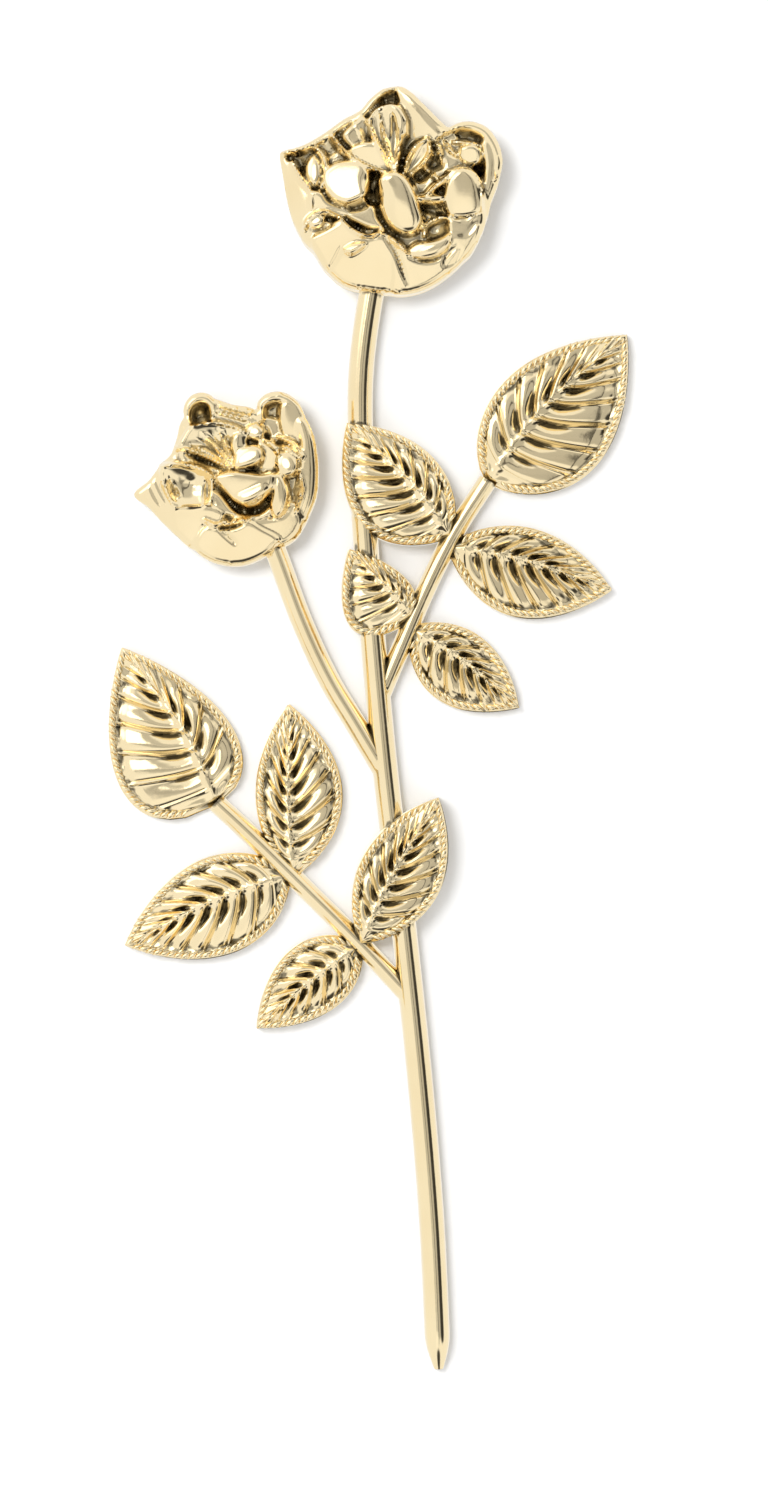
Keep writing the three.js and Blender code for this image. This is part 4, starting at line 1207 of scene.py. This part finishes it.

# %% [markdown]
# ## Polished pale gold, with painted shade
# The metal is a bright champagne gold plate on a polished casting. A metallic surface with low
# roughness gives it. Painted shade: the colour in the hollows is drawn toward a dark brown grey
# by the attribute measured above. What keeps the gold from looking like a computer's is small:
# its tint and polish vary a little from place to place, and it has the faint waves that buffing
# leaves.

# %% Gold
GOLD = (0.95, 0.80, 0.51, 1)
GOLD_DEEP = (0.90, 0.73, 0.43, 1)
# Painted shade: the dark brown grey that the colour in the hollows is drawn toward.
PAINTED_SHADE_TINT = (0.13, 0.11, 0.07, 1)
PAINTED_SHADE_FROM, PAINTED_SHADE_TO, PAINTED_SHADE_MOST = 0.34, 0.58, 0.84


def new_material(name):
    material = bpy.data.materials.new(name)
    material.use_nodes = True
    material.node_tree.nodes.clear()
    return material, material.node_tree


def ranged(tree, value, from_low, from_high, to_low=0.0, to_high=1.0, **settings):
    """A value taken from one range to another."""
    return add(tree, "ShaderNodeMapRange", {
        "Value": value, "From Min": from_low, "From Max": from_high, "To Min": to_low, "To Max": to_high,
    }, **settings).outputs["Result"]


def blended(tree, share, first, second):
    """The first colour drawn toward the second by a share."""
    return add(tree, "ShaderNodeMix", {0: share, 6: first, 7: second}, data_type="RGBA").outputs[2]


gold, tree = new_material("polished_pale_gold")
place = add(tree, "ShaderNodeTexCoord").outputs["Object"]
patches = add(tree, "ShaderNodeTexNoise", {"Vector": place, "Scale": 55.0, "Detail": 3.0}).outputs["Fac"]
polish = add(tree, "ShaderNodeTexNoise", {"Vector": place, "Scale": 240.0, "Detail": 4.0}).outputs["Fac"]
waves = add(tree, "ShaderNodeTexNoise", {"Vector": place, "Scale": 420.0, "Detail": 2.0}).outputs["Fac"]
plate = blended(tree, ranged(tree, patches, 0.35, 0.7, 0.0, 0.6), GOLD, GOLD_DEEP)
# Painted shade: the attribute darkens the gold's colour in the hollows.
painted_shade_amount = add(tree, "ShaderNodeAttribute", attribute_name="hollow").outputs["Fac"]
painted_shade_mix = ranged(tree, painted_shade_amount, PAINTED_SHADE_FROM, PAINTED_SHADE_TO, 0.0, PAINTED_SHADE_MOST)
bump = add(tree, "ShaderNodeBump", {"Height": waves, "Strength": 0.06, "Distance": 0.0004})
metal = add(tree, "ShaderNodeBsdfPrincipled", {
    "Base Color": blended(tree, painted_shade_mix, plate, PAINTED_SHADE_TINT), "Metallic": 1.0,
    "Roughness": ranged(tree, polish, 0.3, 0.7, 0.07, 0.14), "Normal": bump.outputs["Normal"],
})
add(tree, "ShaderNodeOutputMaterial", {"Surface": metal.outputs["BSDF"]})
rose_spray.data.materials.clear()
rose_spray.data.materials.append(gold)

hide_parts("rose_spray")
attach(rose_spray, "root")
print("finish:", gold.name, "with", len(tree.nodes), "nodes")

# %% [markdown]
# ## Stage and light
# The spray hangs on a plain pale wall over a pale floor. The wall can be seen through from
# behind, so that views from the back show the flat side. Both are hidden from reflections,
# because the tent of the next step is all that the metal should mirror.

# %% Wall and floor
FLOOR_LEVEL = -0.42
FLOOR_FRONT = -2.5
SHEET_HALF = 1.5
WALL_GAP = 0.0006
PAPER = 0.9
PAPER_GRAIN = 0.01


def plain_sheet(name, corners, clear_from_behind):
    mesh = bpy.data.meshes.new(name)
    mesh.from_pydata(corners, [], [range(len(corners))])
    paper, tree = new_material(name)
    grain = add(tree, "ShaderNodeTexNoise", {"Scale": 3.0, "Detail": 2.0}).outputs["Fac"]
    shade = ranged(tree, grain, 0.0, 1.0, PAPER - PAPER_GRAIN, PAPER + PAPER_GRAIN)
    surface = add(tree, "ShaderNodeBsdfDiffuse", {"Color": shade}).outputs[0]
    if clear_from_behind:
        clear = add(tree, "ShaderNodeBsdfTransparent").outputs[0]
        behind = add(tree, "ShaderNodeNewGeometry").outputs["Backfacing"]
        surface = add(tree, "ShaderNodeMixShader", {0: behind, 1: surface, 2: clear}).outputs[0]
    add(tree, "ShaderNodeOutputMaterial", {"Surface": surface})
    mesh.materials.append(paper)
    sheet = put_in_scene(name, mesh)
    sheet.visible_glossy = False


def rectangle(low, high):
    """The four corners of a rectangle, in order."""
    return low, (high[0], low[1]), high, (low[0], high[1])


wall = rectangle((-SHEET_HALF, FLOOR_LEVEL), (SHEET_HALF, SHEET_HALF))
ground = rectangle((-SHEET_HALF, FLOOR_FRONT), (SHEET_HALF, SHEET_HALF))
plain_sheet("wall", [(x, WALL_GAP, z) for x, z in wall], True)
plain_sheet("floor", [(x, y, FLOOR_LEVEL) for x, y in ground], False)
print("stage: wall and floor, both hidden from reflections")

# %% [markdown]
# A polished casting shows little but what is around it, so the surroundings are the most of its
# looks. The world shader holds a light tent: an even brightness, soft spots that make it
# brighter or darker in a direction, and a thin dark gap to the right of the camera, which draws
# the dark lines along the stems. A camera ray sees plain white instead.

# %% Tent
TENT = 1.0
SPOTS = [
    # direction seen from the spray, inner and outer reach in degrees, brightness
    ((0.0, -1.0, 0.0), 7, 16, 0.58),
    ((0.6, -1.0, 0.1), 18, 30, 0.55),
    ((0.15, -1.0, 0.5), 11, 22, 0.6),
    ((1.0, -0.5, -0.1), 14, 24, 0.05),
    ((0.0, -1.0, -0.6), 14, 26, 1.06),
    ((0.1, -0.4, -0.9), 13, 25, 0.06),
    ((-0.17, -1.0, 0.17), 6, 10, 0.5),
    ((-0.37, -1.0, 0.37), 10, 12, 2.3),
    ((-0.8, -0.6, 0.6), 15, 24, 2.0),
]
GAP_RIGHT, GAP_HALF, GAP_SOFT, GAP_BRIGHTNESS = 19, 1.4, 3.6, 0.1
GAP_REACH, GAP_END = 30, 50

world = bpy.data.worlds.new("tent")
world.use_nodes = True
tent = world.node_tree
tent.nodes.clear()
way = add(tent, "ShaderNodeTexCoord").outputs["Generated"]


def along(direction):
    """How far the way looked at runs along a direction."""
    product = add(tent, "ShaderNodeVectorMath", {0: way, 1: direction}, operation="DOT_PRODUCT")
    return product.outputs["Value"]


def soft_range(value, low, high):
    return ranged(tent, value, low, high, interpolation_type="SMOOTHSTEP")


def near(direction, inner, outer):
    """1 within the inner reach of a direction, 0 past the outer reach."""
    facing = along(tuple(Vector(direction).normalized()))
    return soft_range(facing, math.cos(math.radians(outer)), math.cos(math.radians(inner)))


def toward(level, brightness, share):
    """A level drawn toward a brightness by a share."""
    gain = math_node(tent, "SUBTRACT", brightness, level)
    return math_node(tent, "ADD", level, math_node(tent, "MULTIPLY", gain, share))


level = TENT
for direction, inner, outer, brightness in SPOTS:
    level = toward(level, brightness, near(direction, inner, outer))
gap_turn = math.radians(GAP_RIGHT)
from_gap = math_node(tent, "ABSOLUTE", along((math.cos(gap_turn), math.sin(gap_turn), 0)))
in_gap = soft_range(from_gap, math.sin(math.radians(GAP_SOFT)), math.sin(math.radians(GAP_HALF)))
gap = math_node(tent, "MULTIPLY", in_gap, near(FRONT, GAP_REACH, GAP_END))
level = toward(level, GAP_BRIGHTNESS, gap)
level = toward(level, 1.0, add(tent, "ShaderNodeLightPath").outputs["Is Camera Ray"])
backdrop = add(tent, "ShaderNodeBackground", {"Color": level})
add(tent, "ShaderNodeOutputWorld", {"Surface": backdrop.outputs[0]})
bpy.context.scene.world = world
print("tent:", len(SPOTS), "spots and one gap")

# %% [markdown]
# One soft lamp at the upper left gives the wall its soft shadows to the right. It is hidden from
# reflections too, because the tent already has a bright spot there.

# %% Key light
KEY_PLACE = (-0.5, -1.15, 0.38)
KEY_SIZE = 0.5
KEY_POWER = 7

key_data = bpy.data.lights.new("key", "AREA")
key_data.shape = "DISK"
key_data.size = KEY_SIZE
key_data.energy = KEY_POWER
key = put_in_scene("key", key_data)
key.location = KEY_PLACE
key.rotation_euler = (-key.location).to_track_quat("-Z", "Y").to_euler()
key.visible_glossy = False
bpy.context.scene.view_settings.view_transform = "Standard"
print("key lamp in m:", KEY_PLACE)
